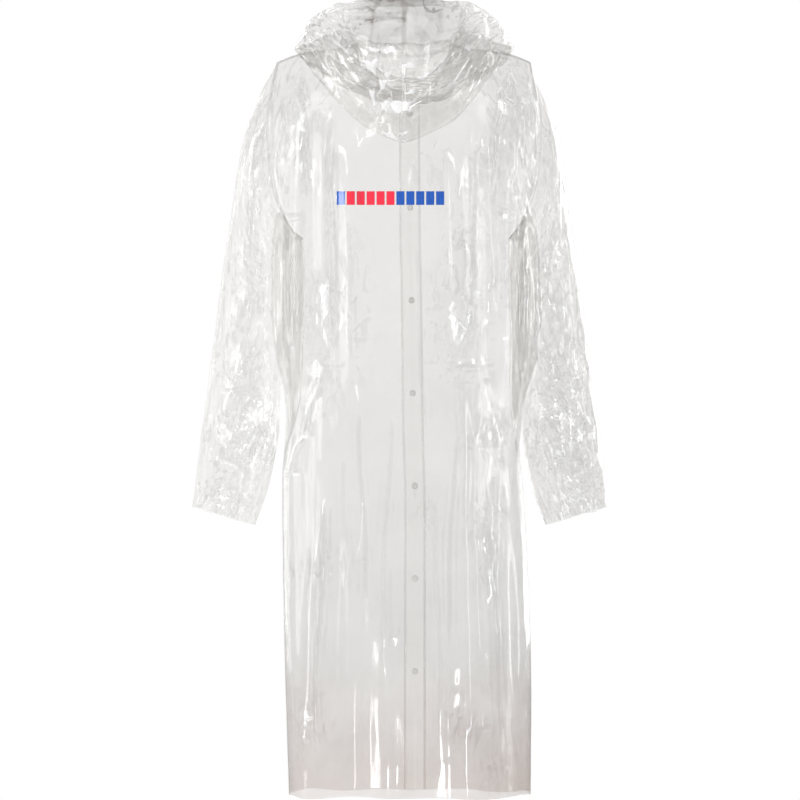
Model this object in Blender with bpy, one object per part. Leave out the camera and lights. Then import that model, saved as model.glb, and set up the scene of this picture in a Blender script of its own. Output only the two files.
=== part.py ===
"""Clear film rain coat with a hood, in the rounded shape it has when worn, with nobody in it.

Metres, +Z up. The origin is the middle of the neck at the height of the nape seam. The back of the
coat faces -Y and the front +Y, so +X is the wearer's right. Every piece of film is a thin wall whose
outer face comes from sections and edge curves, and whose inner face is that one moved inwards.
"""

import math
from collections import namedtuple

import bmesh
import bpy
from mathutils import Matrix, Vector
from mathutils.bvhtree import BVHTree

# ---------------------------------------------------------------- driving sizes
WALL = 0.0012  # thickness of a film wall
SEAM_GAP = 0.0003  # left open between two pieces that are welded together
NECK_GAP = 0.0005  # left open along the neck seam, where the hood turns back
LAP_LIFT = 0.0024  # how far the upper front lies off the lower one
SIDE_FADE = 0.22  # share of a half panel over which its folds die out towards the side
LAP_HALF = 0.018  # half the width by which the fronts overlap
UNDERARM_Z = -0.295  # height of the underarm point, which parts body from yoke
ARM_ANGLE = 3.0  # degrees forward of +X where the sleeve presses into the body
ARM_DENT_WIDTH = 17.5  # degrees to each side that the sleeve's hollow reaches
ARMHOLE_PULL = 3.0  # how closely the armhole's outline is kept to the edge of the yoke
CLEARANCE = 0.0040  # least distance from the body's film to hood or sleeve film
HOOD_FRONT_GAP = 0.0020  # from the closing line to each half of the hood at the front
ARMHOLE_FADE = 0.55  # share of the sleeve over which the armhole's own outline dies out
SNAP_PITCH = 0.153  # from one snap to the next
SNAP_TOP_Z = -0.087  # height of the highest snap
SNAP_COUNT = 7
SNAP_RADIUS = 0.0056
SNAP_HEIGHT = 0.0022
SNAP_GAP = 0.0005  # left open under a snap

# ---------------------------------------------------------------- mesh density
NECK_COLUMNS = 6  # columns of a half panel that end on the neckline
SHOULDER_COLUMNS = 13  # and on the shoulder seam
LAP_COLUMNS = 2  # columns of the strip that laps past the closing line
YOKE_ROWS = 12  # rows from the underarm to the shoulder
RING_SAMPLES = 240  # fine steps along a section before it is cut into columns
SNAP_SIDES = 10

# ---------------------------------------------------------------- body sections
# z: height; middle: where the section's centre lies across; half: half the width;
# back, front: depth behind and before the centre; square: 2 is an ellipse, more is boxier;
# dent: how deep the sleeve presses in; closing: where the front closes, across.
BodySection = namedtuple("BodySection", "z middle half back front square dent closing")
BODY_SECTIONS = [
    BodySection(-1.1995, 0.0095, 0.1970, 0.150, 0.150, 2.30, 0.000, 0.018),
    BodySection(-0.965, 0.0060, 0.2005, 0.146, 0.148, 2.40, 0.000, 0.018),
    BodySection(-0.720, -0.0020, 0.1965, 0.143, 0.146, 2.60, 0.000, 0.018),
    BodySection(-0.647, -0.0040, 0.1985, 0.142, 0.145, 2.80, 0.008, 0.016),
    BodySection(-0.557, 0.0020, 0.2100, 0.141, 0.143, 3.10, 0.038, 0.014),
    BodySection(-0.450, 0.0040, 0.2310, 0.140, 0.141, 3.40, 0.062, 0.013),
    BodySection(-0.360, 0.0040, 0.2320, 0.139, 0.138, 3.50, 0.066, 0.012),
    BodySection(-0.295, 0.0030, 0.2290, 0.137, 0.135, 3.50, 0.062, 0.010),
]
BODY_ROWS = 14  # rows from the hem to the underarm

# ---------------------------------------------------------------- yoke edges
EdgePoint = namedtuple("EdgePoint", "x y z")
BACK_ARMHOLE = [
    EdgePoint(0.187, -0.034, -0.272),
    EdgePoint(0.211, -0.066, -0.218),
    EdgePoint(0.220, -0.074, -0.150),
    EdgePoint(0.219, -0.052, -0.074),
]
FRONT_ARMHOLE = [
    EdgePoint(0.187, 0.048, -0.272),
    EdgePoint(0.208, 0.078, -0.218),
    EdgePoint(0.216, 0.082, -0.150),
    EdgePoint(0.216, 0.056, -0.074),
]
SHOULDER_POINT = EdgePoint(0.207, 0.002, -0.007)
CENTRE_BACK = [
    EdgePoint(0.0, -0.136, -0.220),
    EdgePoint(0.0, -0.128, -0.130),
    EdgePoint(0.0, -0.110, -0.060),
    EdgePoint(0.0, -0.086, -0.020),
]
CENTRE_FRONT = [
    EdgePoint(0.0, 0.133, -0.230),
    EdgePoint(0.0, 0.124, -0.165),
    EdgePoint(0.0, 0.108, -0.108),
]
CLOSING_TOP = 0.009  # where the front closes across, at the neckline

# ---------------------------------------------------------------- hood
# Each loop runs round the neck from the centre back past the side to the front end.
# point: how sharply the loop dips at the centre back, where 1 is round.
HoodLoop = namedtuple("HoodLoop", "back_y back_z side_x side_y side_z front_y front_z point")
NECKLINE = HoodLoop(-0.062, 0.000, 0.075, 0.005, 0.025, 0.088, -0.070, 1.0)
HOOD_LOOPS = [
    NECKLINE,
    HoodLoop(-0.067, 0.016, 0.081, 0.004, 0.040, 0.091, -0.056, 1.0),
    HoodLoop(-0.086, 0.014, 0.099, 0.002, 0.046, 0.104, -0.050, 1.3),
    HoodLoop(-0.114, -0.040, 0.128, -0.003, 0.036, 0.118, -0.060, 1.8),
    HoodLoop(-0.138, -0.106, 0.156, -0.008, 0.022, 0.126, -0.070, 2.2),
    HoodLoop(-0.151, -0.140, 0.175, -0.012, 0.017, 0.132, -0.066, 2.2),
    HoodLoop(-0.167, -0.118, 0.178, -0.014, 0.016, 0.134, -0.052, 2.2),
    HoodLoop(-0.177, -0.052, 0.170, -0.014, 0.034, 0.130, -0.040, 1.9),
    HoodLoop(-0.169, 0.018, 0.152, -0.012, 0.059, 0.122, -0.032, 1.4),
    HoodLoop(-0.144, 0.074, 0.132, -0.010, 0.077, 0.113, -0.028, 1.1),
    HoodLoop(-0.122, 0.089, 0.112, -0.008, 0.086, 0.105, -0.030, 1.0),
    HoodLoop(-0.102, 0.078, 0.098, -0.006, 0.077, 0.099, -0.037, 1.0),
]
HOOD_ROWS = 22  # rows from the neck seam to the rim

# ---------------------------------------------------------------- sleeves
# Where the sleeve's outer and inner edge are, across and up, then half its depth and where the
# middle of that depth lies.
SleeveStation = namedtuple("SleeveStation", "outer_x outer_z inner_x inner_z depth middle_y")
SLEEVE_STATIONS = [
    SleeveStation(0.2070, -0.0070, 0.1690, -0.2950, 0.078, 0.003),
    SleeveStation(0.2310, -0.0500, 0.1800, -0.2985, 0.078, 0.004),
    SleeveStation(0.2510, -0.1120, 0.1860, -0.3080, 0.076, 0.006),
    SleeveStation(0.2625, -0.1680, 0.1890, -0.3230, 0.071, 0.008),
    SleeveStation(0.2730, -0.2360, 0.1900, -0.3460, 0.066, 0.010),
    SleeveStation(0.2835, -0.3050, 0.1900, -0.3790, 0.062, 0.011),
    SleeveStation(0.2940, -0.3780, 0.1900, -0.4280, 0.060, 0.012),
    SleeveStation(0.3060, -0.4760, 0.1920, -0.4980, 0.060, 0.013),
    SleeveStation(0.3160, -0.5490, 0.1950, -0.5620, 0.061, 0.015),
    SleeveStation(0.3270, -0.6220, 0.2000, -0.6310, 0.061, 0.020),
    SleeveStation(0.3350, -0.6900, 0.2150, -0.6980, 0.057, 0.028),
    SleeveStation(0.3390, -0.7320, 0.2370, -0.7620, 0.052, 0.036),
]
SLEEVE_SPREAD = {-1: 0.0065, 1: -0.0065}  # how far each sleeve hangs outwards of the table
SLEEVE_ROWS = 22  # rows from the armhole to the cuff

# ---------------------------------------------------------------- folds
# across: how far from the middle of the coat; top, bottom: heights where the fold begins and ends;
# drift: how far across it wanders on its way down; width: half its width; depth: how far it stands
# out, or in where negative.
Fold = namedtuple("Fold", "across top bottom drift width depth")
BACK_FOLDS = [
    Fold(-0.168, -0.05, -0.50, -0.010, 0.026, 0.0100),
    Fold(-0.132, -0.06, -0.38, 0.004, 0.022, 0.0080),
    Fold(-0.088, -0.12, -0.62, 0.006, 0.024, 0.0080),
    Fold(-0.192, -0.24, -0.66, 0.004, 0.022, -0.0060),
    Fold(-0.122, -0.46, -1.22, -0.030, 0.030, 0.0080),
    Fold(-0.045, -0.55, -1.22, 0.010, 0.032, 0.0060),
    Fold(0.084, -0.10, -0.52, 0.008, 0.024, 0.0080),
    Fold(0.128, -0.05, -0.46, 0.010, 0.024, 0.0090),
    Fold(0.172, -0.04, -0.50, 0.008, 0.026, 0.0100),
    Fold(0.194, -0.22, -0.66, 0.000, 0.022, -0.0060),
    Fold(0.086, -0.50, -1.22, 0.018, 0.028, 0.0090),
    Fold(0.134, -0.62, -1.22, 0.030, 0.030, 0.0080),
    Fold(0.172, -0.72, -1.22, -0.012, 0.026, -0.0060),
]
FRONT_FOLDS = [
    Fold(-0.165, -0.05, -0.58, -0.006, 0.026, 0.0100),
    Fold(-0.108, -0.10, -0.68, 0.008, 0.026, 0.0080),
    Fold(-0.150, -0.62, -1.22, 0.010, 0.030, 0.0080),
    Fold(-0.078, -0.70, -1.22, -0.008, 0.030, 0.0060),
    Fold(0.165, -0.05, -0.56, -0.004, 0.026, 0.0100),
    Fold(0.112, -0.12, -0.72, 0.006, 0.026, 0.0080),
    Fold(0.160, -0.60, -1.22, 0.006, 0.030, 0.0080),
    Fold(0.100, -0.70, -1.22, 0.010, 0.030, 0.0070),
]
# A sleeve's creases: down: share of its length; angle: degrees round it from the outer edge towards
# the back; run: half its length in degrees; tilt: how far it climbs over that run; width: half its
# width as a share of the length; depth as above.
Crease = namedtuple("Crease", "down angle run tilt width depth")
SLEEVE_CREASES = [
    Crease(0.30, 95.0, 55.0, 0.10, 0.050, -0.0060),
    Crease(0.52, 120.0, 60.0, -0.08, 0.045, -0.0060),
    Crease(0.70, 70.0, 70.0, 0.06, 0.035, -0.0055),
    Crease(0.78, 110.0, 60.0, -0.07, 0.035, 0.0050),
    Crease(0.88, 80.0, 55.0, 0.08, 0.035, -0.0050),
    Crease(0.60, 255.0, 60.0, 0.07, 0.045, -0.0055),
    Crease(0.80, 280.0, 60.0, -0.06, 0.040, -0.0050),
]
# The pouch of the hood: round: degrees from the centre back; climb: share of the way from the neck
# seam to the rim; both widths are half widths in the same measures.
Pucker = namedtuple("Pucker", "round climb round_width climb_width depth")
HOOD_PUCKERS = [
    Pucker(-62.0, 0.62, 16.0, 0.07, -0.0070),
    Pucker(-78.0, 0.72, 18.0, 0.05, 0.0050),
    Pucker(-40.0, 0.68, 12.0, 0.06, 0.0055),
    Pucker(-14.0, 0.60, 9.0, 0.10, -0.0060),
    Pucker(18.0, 0.66, 9.0, 0.11, -0.0065),
    Pucker(44.0, 0.62, 12.0, 0.08, 0.0055),
    Pucker(64.0, 0.70, 14.0, 0.06, -0.0065),
    Pucker(110.0, 0.62, 20.0, 0.07, -0.0050),
    Pucker(-112.0, 0.64, 20.0, 0.07, -0.0050),
]

# ---------------------------------------------------------------- finishes
Finish = namedtuple("Finish", "name colour roughness metallic alpha")
FILM = Finish("clear_film", (0.86, 0.87, 0.87), 0.22, 0.0, 0.35)
SNAP_PLASTIC = Finish("snap_plastic", (0.62, 0.62, 0.61), 0.35, 0.0, 1.0)


# ---------------------------------------------------------------- curves and tables
def hermite(points, share):
    """Point at a share of the way along a smooth curve through the points, evenly by number."""
    last = len(points) - 1
    place = min(max(share, 0.0), 1.0) * last
    i = min(int(place), last - 1)
    t = place - i
    before, start, end, after = (
        points[max(i - 1, 0)],
        points[i],
        points[i + 1],
        points[min(i + 2, last)],
    )
    leave = (end - before) * 0.5
    reach = (after - start) * 0.5
    return (
        start * (2 * t**3 - 3 * t**2 + 1)
        + leave * (t**3 - 2 * t**2 + t)
        + end * (3 * t**2 - 2 * t**3)
        + reach * (t**3 - t**2)
    )


def row_at(table, share):
    """Row of a table of named columns at a share of the way down it, smoothly between its rows."""
    columns = [hermite([row[i] for row in table], share) for i in range(len(table[0]))]
    return type(table[0])(*columns)


def section_at(z):
    """Body section at a height, found between the rows of the table."""
    for i in range(len(BODY_SECTIONS) - 1):
        low, high = BODY_SECTIONS[i], BODY_SECTIONS[i + 1]
        if z <= high.z or i == len(BODY_SECTIONS) - 2:
            share = (i + (z - low.z) / (high.z - low.z)) / (len(BODY_SECTIONS) - 1)
            return row_at(BODY_SECTIONS, share)
    return BODY_SECTIONS[-1]


def even_points(line, shares):
    """Points at shares of a polyline's length."""
    reach = [0.0]
    for a, b in zip(line, line[1:]):
        reach.append(reach[-1] + (b - a).length)
    found = []
    i = 0
    for share in shares:
        want = share * reach[-1]
        while i < len(line) - 2 and reach[i + 1] < want:
            i += 1
        step = reach[i + 1] - reach[i]
        found.append(line[i].lerp(line[i + 1], (want - reach[i]) / step if step else 0.0))
    return found


def swell(distance, width):
    """Smooth hump, 1 at its middle and 0 from one width away."""
    t = min(abs(distance) / width, 1.0)
    return (1 - t * t) ** 2


def ease(t):
    """0 to 1, level at both ends."""
    t = min(max(t, 0.0), 1.0)
    return t * t * (3 - 2 * t)


# ---------------------------------------------------------------- body
def ring_point(section, degrees):
    """Point of a body section at an angle round it, from +X (0) to the front (90) or back (-90)."""
    turn = math.radians(degrees)
    across, along = math.cos(turn), math.sin(turn)
    depth = section.back if along < 0 else section.front
    radius = (
        abs(across / section.half) ** section.square + abs(along / depth) ** section.square
    ) ** (-1 / section.square)
    off = degrees if degrees <= 90 else 180 - degrees
    off = off if off >= -90 else -180 - off
    radius -= section.dent * math.exp(-(((off - ARM_ANGLE) / ARM_DENT_WIDTH) ** 4))
    return Vector((section.middle + radius * across, radius * along, section.z))


def half_ring(section, side, back, end):
    """Fine points of a quarter of a section, from its centre line to an angle at its side."""
    start = -90.0 if back else 90.0
    line = []
    for i in range(RING_SAMPLES + 1):
        degrees = start + (end - start) * i / RING_SAMPLES
        line.append(ring_point(section, degrees if side > 0 else 180.0 - degrees))
    return line


def fold_depth(folds, point):
    """How far the folds of the back, or of the fronts, stand out at a point."""
    total = 0.0
    for fold in folds:
        if not fold.bottom < point.z < fold.top:
            continue
        down = (fold.top - point.z) / (fold.top - fold.bottom)
        fade = ease(down / 0.25)
        if fold.bottom > BODY_SECTIONS[0].z:
            fade *= ease((1 - down) / 0.25)
        total += fold.depth * fade * swell(point.x - fold.across - fold.drift * down, fold.width)
    return total


def column_shares():
    """Shares of a half panel's width at which its columns stand."""
    count = NECK_COLUMNS + SHOULDER_COLUMNS
    return [i / count for i in range(count + 1)]


def neck_point(loop, degrees, side):
    """Point of a loop round the neck; degrees run from the centre back (0) to the front end (180)."""
    turn = math.radians(degrees)
    forward = max(-math.cos(turn), 0.0)
    backward = max(math.cos(turn), 0.0)
    x = side * loop.side_x * math.sin(turn)
    if degrees > 90:
        x += CLOSING_TOP * (1 - math.sin(turn))
    y = loop.side_y + (loop.back_y - loop.side_y) * backward + (loop.front_y - loop.side_y) * forward
    z = (
        loop.side_z
        + (loop.back_z - loop.side_z) * backward**loop.point
        + (loop.front_z - loop.side_z) * forward**1.5
    )
    return Vector((x, y, z))


def mirrored(point, side):
    """A table's point as a vector on that side of the coat."""
    return Vector((side * point.x, point.y, point.z))


def top_line(side, back):
    """Upper edge of a half panel: neckline from the centre out, then the shoulder seam."""
    line = []
    for i in range(NECK_COLUMNS + 1):
        degrees = 90.0 * i / NECK_COLUMNS
        line.append(neck_point(NECKLINE, degrees if back else 180.0 - degrees, side))
    neck_side, shoulder = line[-1], mirrored(SHOULDER_POINT, side)
    for i in range(1, SHOULDER_COLUMNS + 1):
        t = i / SHOULDER_COLUMNS
        point = neck_side.lerp(shoulder, t)
        point.z += 0.003 * math.sin(math.pi * t) - 0.006 * math.sin(2 * math.pi * t) * 0.5
        line.append(point)
    return line


def armhole_line(side, back, underarm):
    """Armhole edge from the underarm to the shoulder point, one point for each yoke row."""
    table = BACK_ARMHOLE if back else FRONT_ARMHOLE
    points = [underarm] + [mirrored(p, side) for p in table] + [mirrored(SHOULDER_POINT, side)]
    fine = [hermite(points, i / RING_SAMPLES) for i in range(RING_SAMPLES + 1)]
    return even_points(fine, [i / YOKE_ROWS for i in range(YOKE_ROWS + 1)])


def centre_line(side, back, low, high):
    """Centre edge of the yoke from the underarm's height to the neckline."""
    table = CENTRE_BACK if back else CENTRE_FRONT
    points = [low]
    for p in table:
        points.append(Vector((low.x + (high.x - low.x) * (p.z - low.z) / (high.z - low.z), p.y, p.z)))
    points.append(high)
    fine = [hermite(points, i / RING_SAMPLES) for i in range(RING_SAMPLES + 1)]
    return even_points(fine, [i / YOKE_ROWS for i in range(YOKE_ROWS + 1)])


def cut_at_closing(line, side, closing):
    """Drops the start of a front quarter section up to the closing line."""
    kept = [p for p in line if side * (p.x - closing) > 0]
    first = kept[0]
    before = line[max(line.index(first) - 1, 0)]
    share = (closing - before.x) / (first.x - before.x) if first.x != before.x else 0.0
    return [before.lerp(first, share)] + kept


def quarter_row(z, side, back, end=ARM_ANGLE):
    """Points of a section from the centre or closing line to an angle at the side."""
    section = section_at(z)
    line = half_ring(section, side, back, end)
    if not back:
        if side * section.closing < 0:  # this front reaches past the middle of the coat
            line = list(reversed(half_ring(section, -side, back, end)[1:60])) + line
        line = cut_at_closing(line, side, section.closing)
    return even_points(line, column_shares())


def yoke_rows(side, back, base):
    """Rows of a half panel from the underarm up, stretched between its four edges."""
    top = top_line(side, back)
    outer = armhole_line(side, back, base[-1])
    inner = centre_line(side, back, base[0], top[0])
    middle = section_at(UNDERARM_Z).middle
    furthest = ARM_ANGLE
    rows = []
    for r in range(1, YOKE_ROWS + 1):
        t = r / YOKE_ROWS
        edge = math.degrees(math.atan2(outer[r].y, side * (outer[r].x - middle)))
        furthest = min(furthest, edge) if back else max(furthest, edge)
        low_row = quarter_row(UNDERARM_Z, side, back, furthest)
        round_in = 1 - math.sqrt(1 - t**2.4)  # the depth turns over the shoulder late
        row = []
        for share, low, high in zip(column_shares(), low_row, top):
            point = Vector()
            for axis, up in ((0, t), (1, round_in), (2, t)):
                inner_pull = inner[r][axis] - (1 - up) * low_row[0][axis] - up * top[0][axis]
                outer_pull = outer[r][axis] - (1 - up) * low_row[-1][axis] - up * top[-1][axis]
                point[axis] = (1 - up) * low[axis] + up * high[axis]
                point[axis] += (1 - share) * inner_pull + share**ARMHOLE_PULL * outer_pull
            row.append(point)
        rows.append(row)
    return rows


def half_panel(side, back):
    """Grid of outer points of half the back, or of one front up to its closing line."""
    heights = [
        BODY_SECTIONS[0].z + (UNDERARM_Z - BODY_SECTIONS[0].z) * i / BODY_ROWS
        for i in range(BODY_ROWS + 1)
    ]
    rows = [quarter_row(z, side, back) for z in heights]
    rows += yoke_rows(side, back, rows[-1])
    folds = BACK_FOLDS if back else FRONT_FOLDS
    folded = []
    for row in rows:
        moved = []
        for i, point in enumerate(row):
            ahead = row[min(i + 1, len(row) - 1)] - row[max(i - 1, 0)]
            out = Vector((ahead.y, -ahead.x, 0.0)).normalized() * (side if back else -side)
            from_side = ease((1 - i / (len(row) - 1)) / SIDE_FADE)
            moved.append(point + out * fold_depth(folds, point) * from_side)
        folded.append(moved)
    return folded


def along_row(row, distance):
    """Point of a row at a distance along it from its first point."""
    for a, b in zip(row, row[1:]):
        step = (b - a).length
        if distance <= step:
            return a.lerp(b, distance / step)
        distance -= step
    return row[-1]


def add_lap(rows, other_rows, lift):
    """Carries a front on past the closing line, along the other front, raised off it by the lift."""
    lapped = []
    for r, (row, other) in enumerate(zip(rows, other_rows)):
        along = rows[min(r + 1, len(rows) - 1)][0] - rows[max(r - 1, 0)][0]
        out = Vector((0.0, along.z, -along.y)).normalized() * lift
        row = [p.copy() for p in row]
        for i, share in enumerate((1.0, 1.0, 0.8, 0.3)):
            row[i] += out * share
        strip = [along_row(other, LAP_HALF * (i + 1) / LAP_COLUMNS) for i in range(LAP_COLUMNS)]
        lapped.append([p + out for p in reversed(strip)] + row)
    for i in range(LAP_COLUMNS):
        lapped[-1][i] += (lapped[-2][i] - lapped[-1][i]).normalized() * LAP_LIFT
    return lapped


def body_tree(quarters):
    """Search tree over the outer face of the body."""
    points, faces = [], []
    for (side, back), rows in quarters.items():
        start, columns = len(points), len(rows[0])
        points += [p for row in rows for p in row]
        for corners in quads_of(rows, False, (side > 0) != back):
            faces.append([start + r * columns + c for r, c in corners])
    return BVHTree.FromPolygons(points, faces)


def kept_off(tree, point):
    """The point, moved out where it comes closer to the body's outer face than the clearance."""
    near, normal, _, distance = tree.find_nearest(point)
    height = (point - near).dot(normal)
    if height >= CLEARANCE or distance > 0.05 or abs(height) < 0.7 * distance:
        return point
    return near + normal * CLEARANCE


# ---------------------------------------------------------------- sleeves and hood
def armhole_loop(side, back_rows, front_rows):
    """Closed armhole edge from the shoulder down the back to the underarm and up the front."""
    back_edge = [row[-1] for row in back_rows[BODY_ROWS:]]
    front_edge = [row[-1] for row in front_rows[BODY_ROWS:]]
    return list(reversed(back_edge)) + front_edge[1:-1]


def station_ring(station, count, spread):
    """Plain oval ring of a sleeve station on the right side, with the outward direction of each."""
    outer = Vector((station.outer_x + spread, station.middle_y, station.outer_z))
    inner = Vector((station.inner_x + spread, station.middle_y, station.inner_z))
    centre, reach = (outer + inner) / 2, (outer - inner) / 2
    ring = []
    for i in range(count):
        turn = 2 * math.pi * i / count
        back = Vector((0.0, -math.sin(turn), 0.0))
        out = (reach.normalized() * math.cos(turn) + back).normalized()
        ring.append((centre + reach * math.cos(turn) + back * station.depth, out))
    return ring


def crease_depth(degrees, share):
    """How far a sleeve's creases stand out at an angle round it and a share of its length."""
    depth = 0.0
    for c in SLEEVE_CREASES:
        off = (degrees - c.angle + 180.0) % 360.0 - 180.0
        place = c.down + c.tilt * off / c.run
        depth += c.depth * swell(off, c.run) * swell(share - place, c.width)
    return depth


def sleeve_rings(side, loop, tree):
    """Rings of a sleeve from its armhole to its cuff."""
    count = len(loop)
    first = station_ring(SLEEVE_STATIONS[0], count, 0.0)
    rings = [loop]
    for r in range(1, SLEEVE_ROWS + 1):
        share = r / SLEEVE_ROWS
        fade = 1 - ease(share / ARMHOLE_FADE)
        spread = SLEEVE_SPREAD[side] * ease(share / 0.3)
        station = row_at(SLEEVE_STATIONS, share)
        ring = []
        for i, (point, out) in enumerate(station_ring(station, count, spread)):
            point += out * crease_depth(360.0 * i / count, share)
            point = Vector((side * point.x, point.y, point.z))
            start = first[i][0]
            point += (loop[i] - Vector((side * start.x, start.y, start.z))) * fade
            ring.append(kept_off(tree, point) if point.z < UNDERARM_Z else point)
        rings.append(ring)
    return rings


def hood_rows(side, tree):
    """Rows of one half of the hood, from the neck seam to the rim; columns from back to front."""
    count = 2 * NECK_COLUMNS
    rows = []
    for r in range(HOOD_ROWS + 1):
        climb = r / HOOD_ROWS
        loop = row_at(HOOD_LOOPS, climb)
        row = []
        for i in range(count + 1):
            degrees = 180.0 * i / count
            point = neck_point(loop, degrees, side)
            out = (point - Vector((0.0, 0.0, point.z))).normalized()
            for p in HOOD_PUCKERS:
                near = swell(side * degrees - p.round, p.round_width)
                point += out * p.depth * near * swell(climb - p.climb, p.climb_width)
            row.append(kept_off(tree, point) if r > 1 else point)
        rows.append(row)
    return rows


# ---------------------------------------------------------------- walls
def key_of(point):
    """Rounded place of a point, the same for every piece that meets there."""
    return tuple(round(c, 6) for c in point)


def quads_of(grid, closed, flip):
    """Corners of each face of a grid of points, all facing outwards."""
    columns = len(grid[0])
    for r in range(len(grid) - 1):
        for c in range(columns if closed else columns - 1):
            n = (c + 1) % columns
            corners = [(r, c), (r, n), (r + 1, n), (r + 1, c)]
            yield list(reversed(corners)) if flip else corners


class Panel:
    """One piece of film: a grid of outer points with its edges' gaps still to be opened."""

    def __init__(self, name, grid, gaps, closed=False, flip=False):
        self.name, self.grid, self.closed, self.flip, self.gaps = name, grid, closed, flip, gaps
        self.normals, self.inwards = {}, {}
        for corners in quads_of(grid, closed, flip):
            self.add_face([grid[r][k] for r, k in corners])

    def add_face(self, corners):
        """Adds a face to the outward and the into-the-piece direction at each of its corners."""
        a, b, c, d = corners
        normal, middle = (c - a).cross(d - b), (a + b + c + d) / 4
        for point in corners:
            key = key_of(point)
            self.normals[key] = self.normals.get(key, Vector()) + normal
            self.inwards[key] = self.inwards.get(key, Vector()) + middle - point

    def border(self):
        """Places of the edge of an open grid, in order round it."""
        last, end = len(self.grid) - 1, len(self.grid[0]) - 1
        path = [(0, c) for c in range(end)] + [(r, end) for r in range(last)]
        path += [(last, c) for c in range(end, 0, -1)] + [(r, 0) for r in range(last, 0, -1)]
        return path


def inner_grid(panel, panels):
    """The panel's outer points moved inwards by the wall, mitred where pieces meet at a seam."""
    rows = []
    for row in panel.grid:
        moved = []
        for point in row:
            key = key_of(point)
            own = panel.normals[key].normalized()
            shared = sum((p.normals[key] for p in panels if key in p.normals), Vector())
            shared.normalize()
            lean = own.dot(shared)
            if lean < 0.7 and panel.inwards[key].dot(shared) > 0:
                shared, lean = own, 1.0  # a seam folded outwards, where the inner faces part
            moved.append(point - shared * (WALL / max(lean, 0.5)))
        rows.append(moved)
    return rows


def drawn_back(grid, gaps):
    """The grid with each named edge moved in along it by its gap, which opens the seam."""
    grid = [[p.copy() for p in row] for row in grid]
    edges = {
        "hem": (grid[0], grid[1]),
        "top": (grid[-1], grid[-2]),
        "start": ([row[0] for row in grid], [row[1] for row in grid]),
        "end": ([row[-1] for row in grid], [row[-2] for row in grid]),
    }
    for name, amount in gaps.items():
        for point, behind in zip(*edges[name]):
            point += (behind - point).normalized() * amount
    return grid


def film_material(finish):
    """Material with a finish's colour, roughness, metallic value and opacity."""
    material = bpy.data.materials.get(finish.name) or bpy.data.materials.new(finish.name)
    material.use_nodes = True
    shader = material.node_tree.nodes["Principled BSDF"]
    shader.inputs["Base Color"].default_value = (*finish.colour, 1.0)
    shader.inputs["Roughness"].default_value = finish.roughness
    shader.inputs["Metallic"].default_value = finish.metallic
    shader.inputs["Alpha"].default_value = finish.alpha
    return material


def add_object(name, bm, finish):
    """Puts a finished bmesh in the scene as a named, smooth shaded object."""
    mesh = bpy.data.meshes.new(name)
    bm.to_mesh(mesh)
    bm.free()
    mesh.shade_smooth()
    mesh.set_sharp_from_angle(angle=math.radians(50))
    mesh.materials.append(film_material(finish))
    obj = bpy.data.objects.new(name, mesh)
    bpy.context.scene.collection.objects.link(obj)
    return obj


def build_wall(panel, panels):
    """Closed wall of a panel: outer face, inner face and the rim between them; its search tree."""
    outer = drawn_back(panel.grid, panel.gaps)
    inner = drawn_back(inner_grid(panel, panels), panel.gaps)
    bm = bmesh.new()
    outside = [[bm.verts.new(p) for p in row] for row in outer]
    inside = [[bm.verts.new(p) for p in row] for row in inner]
    for corners in quads_of(outer, panel.closed, panel.flip):
        a, b, c, d = (outer[r][k] for r, k in corners)
        if (c - a).length > (d - b).length:
            corners = corners[1:] + corners[:1]
        for three in (corners[:3], corners[2:] + corners[:1]):
            bm.faces.new([outside[r][c] for r, c in three])
            bm.faces.new([inside[r][c] for r, c in reversed(three)])
    if panel.closed:
        paths = [[(end, c) for c in range(len(outer[0]))] for end in (0, len(outer) - 1)]
    else:
        paths = [panel.border()]
    for path in paths:
        for (r, c), (q, k) in zip(path, path[1:] + path[:1]):
            if key_of(panel.grid[r][c]) > key_of(panel.grid[q][k]):
                (r, c), (q, k) = (q, k), (r, c)
            bm.faces.new([outside[r][c], outside[q][k], inside[q][k]])
            bm.faces.new([outside[r][c], inside[q][k], inside[r][c]])
    bmesh.ops.recalc_face_normals(bm, faces=bm.faces[:])
    wall = BVHTree.FromBMesh(bm)
    add_object(panel.name, bm, FILM)
    return wall


def add_snap(name, wall, centre, outward):
    """Round snap half: a low domed disc that follows the film it stands on."""
    bm = bmesh.new()
    bmesh.ops.create_cone(
        bm,
        cap_ends=True,
        segments=SNAP_SIDES,
        radius1=SNAP_RADIUS,
        radius2=SNAP_RADIUS * 0.72,
        depth=SNAP_HEIGHT,
        matrix=Matrix.Translation((0.0, 0.0, SNAP_HEIGHT / 2)),
    )
    top = [f for f in bm.faces if f.normal.z > 0.9]
    bmesh.ops.inset_region(bm, faces=top, thickness=SNAP_RADIUS * 0.22, depth=-SNAP_HEIGHT * 0.2)
    turn = Vector((0, 0, 1)).rotation_difference(outward).to_matrix()
    for vert in bm.verts:
        height = vert.co.z + SNAP_GAP
        start = centre + turn @ Vector((vert.co.x, vert.co.y, 0.0)) + outward * LAP_HALF
        seat = wall.ray_cast(start, -outward)[0]
        vert.co = seat + outward * height
    return add_object(name, bm, SNAP_PLASTIC)


# ---------------------------------------------------------------- the coat
def clear_scene():
    """Removes what the file starts with."""
    for obj in list(bpy.data.objects):
        bpy.data.objects.remove(obj)


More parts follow.
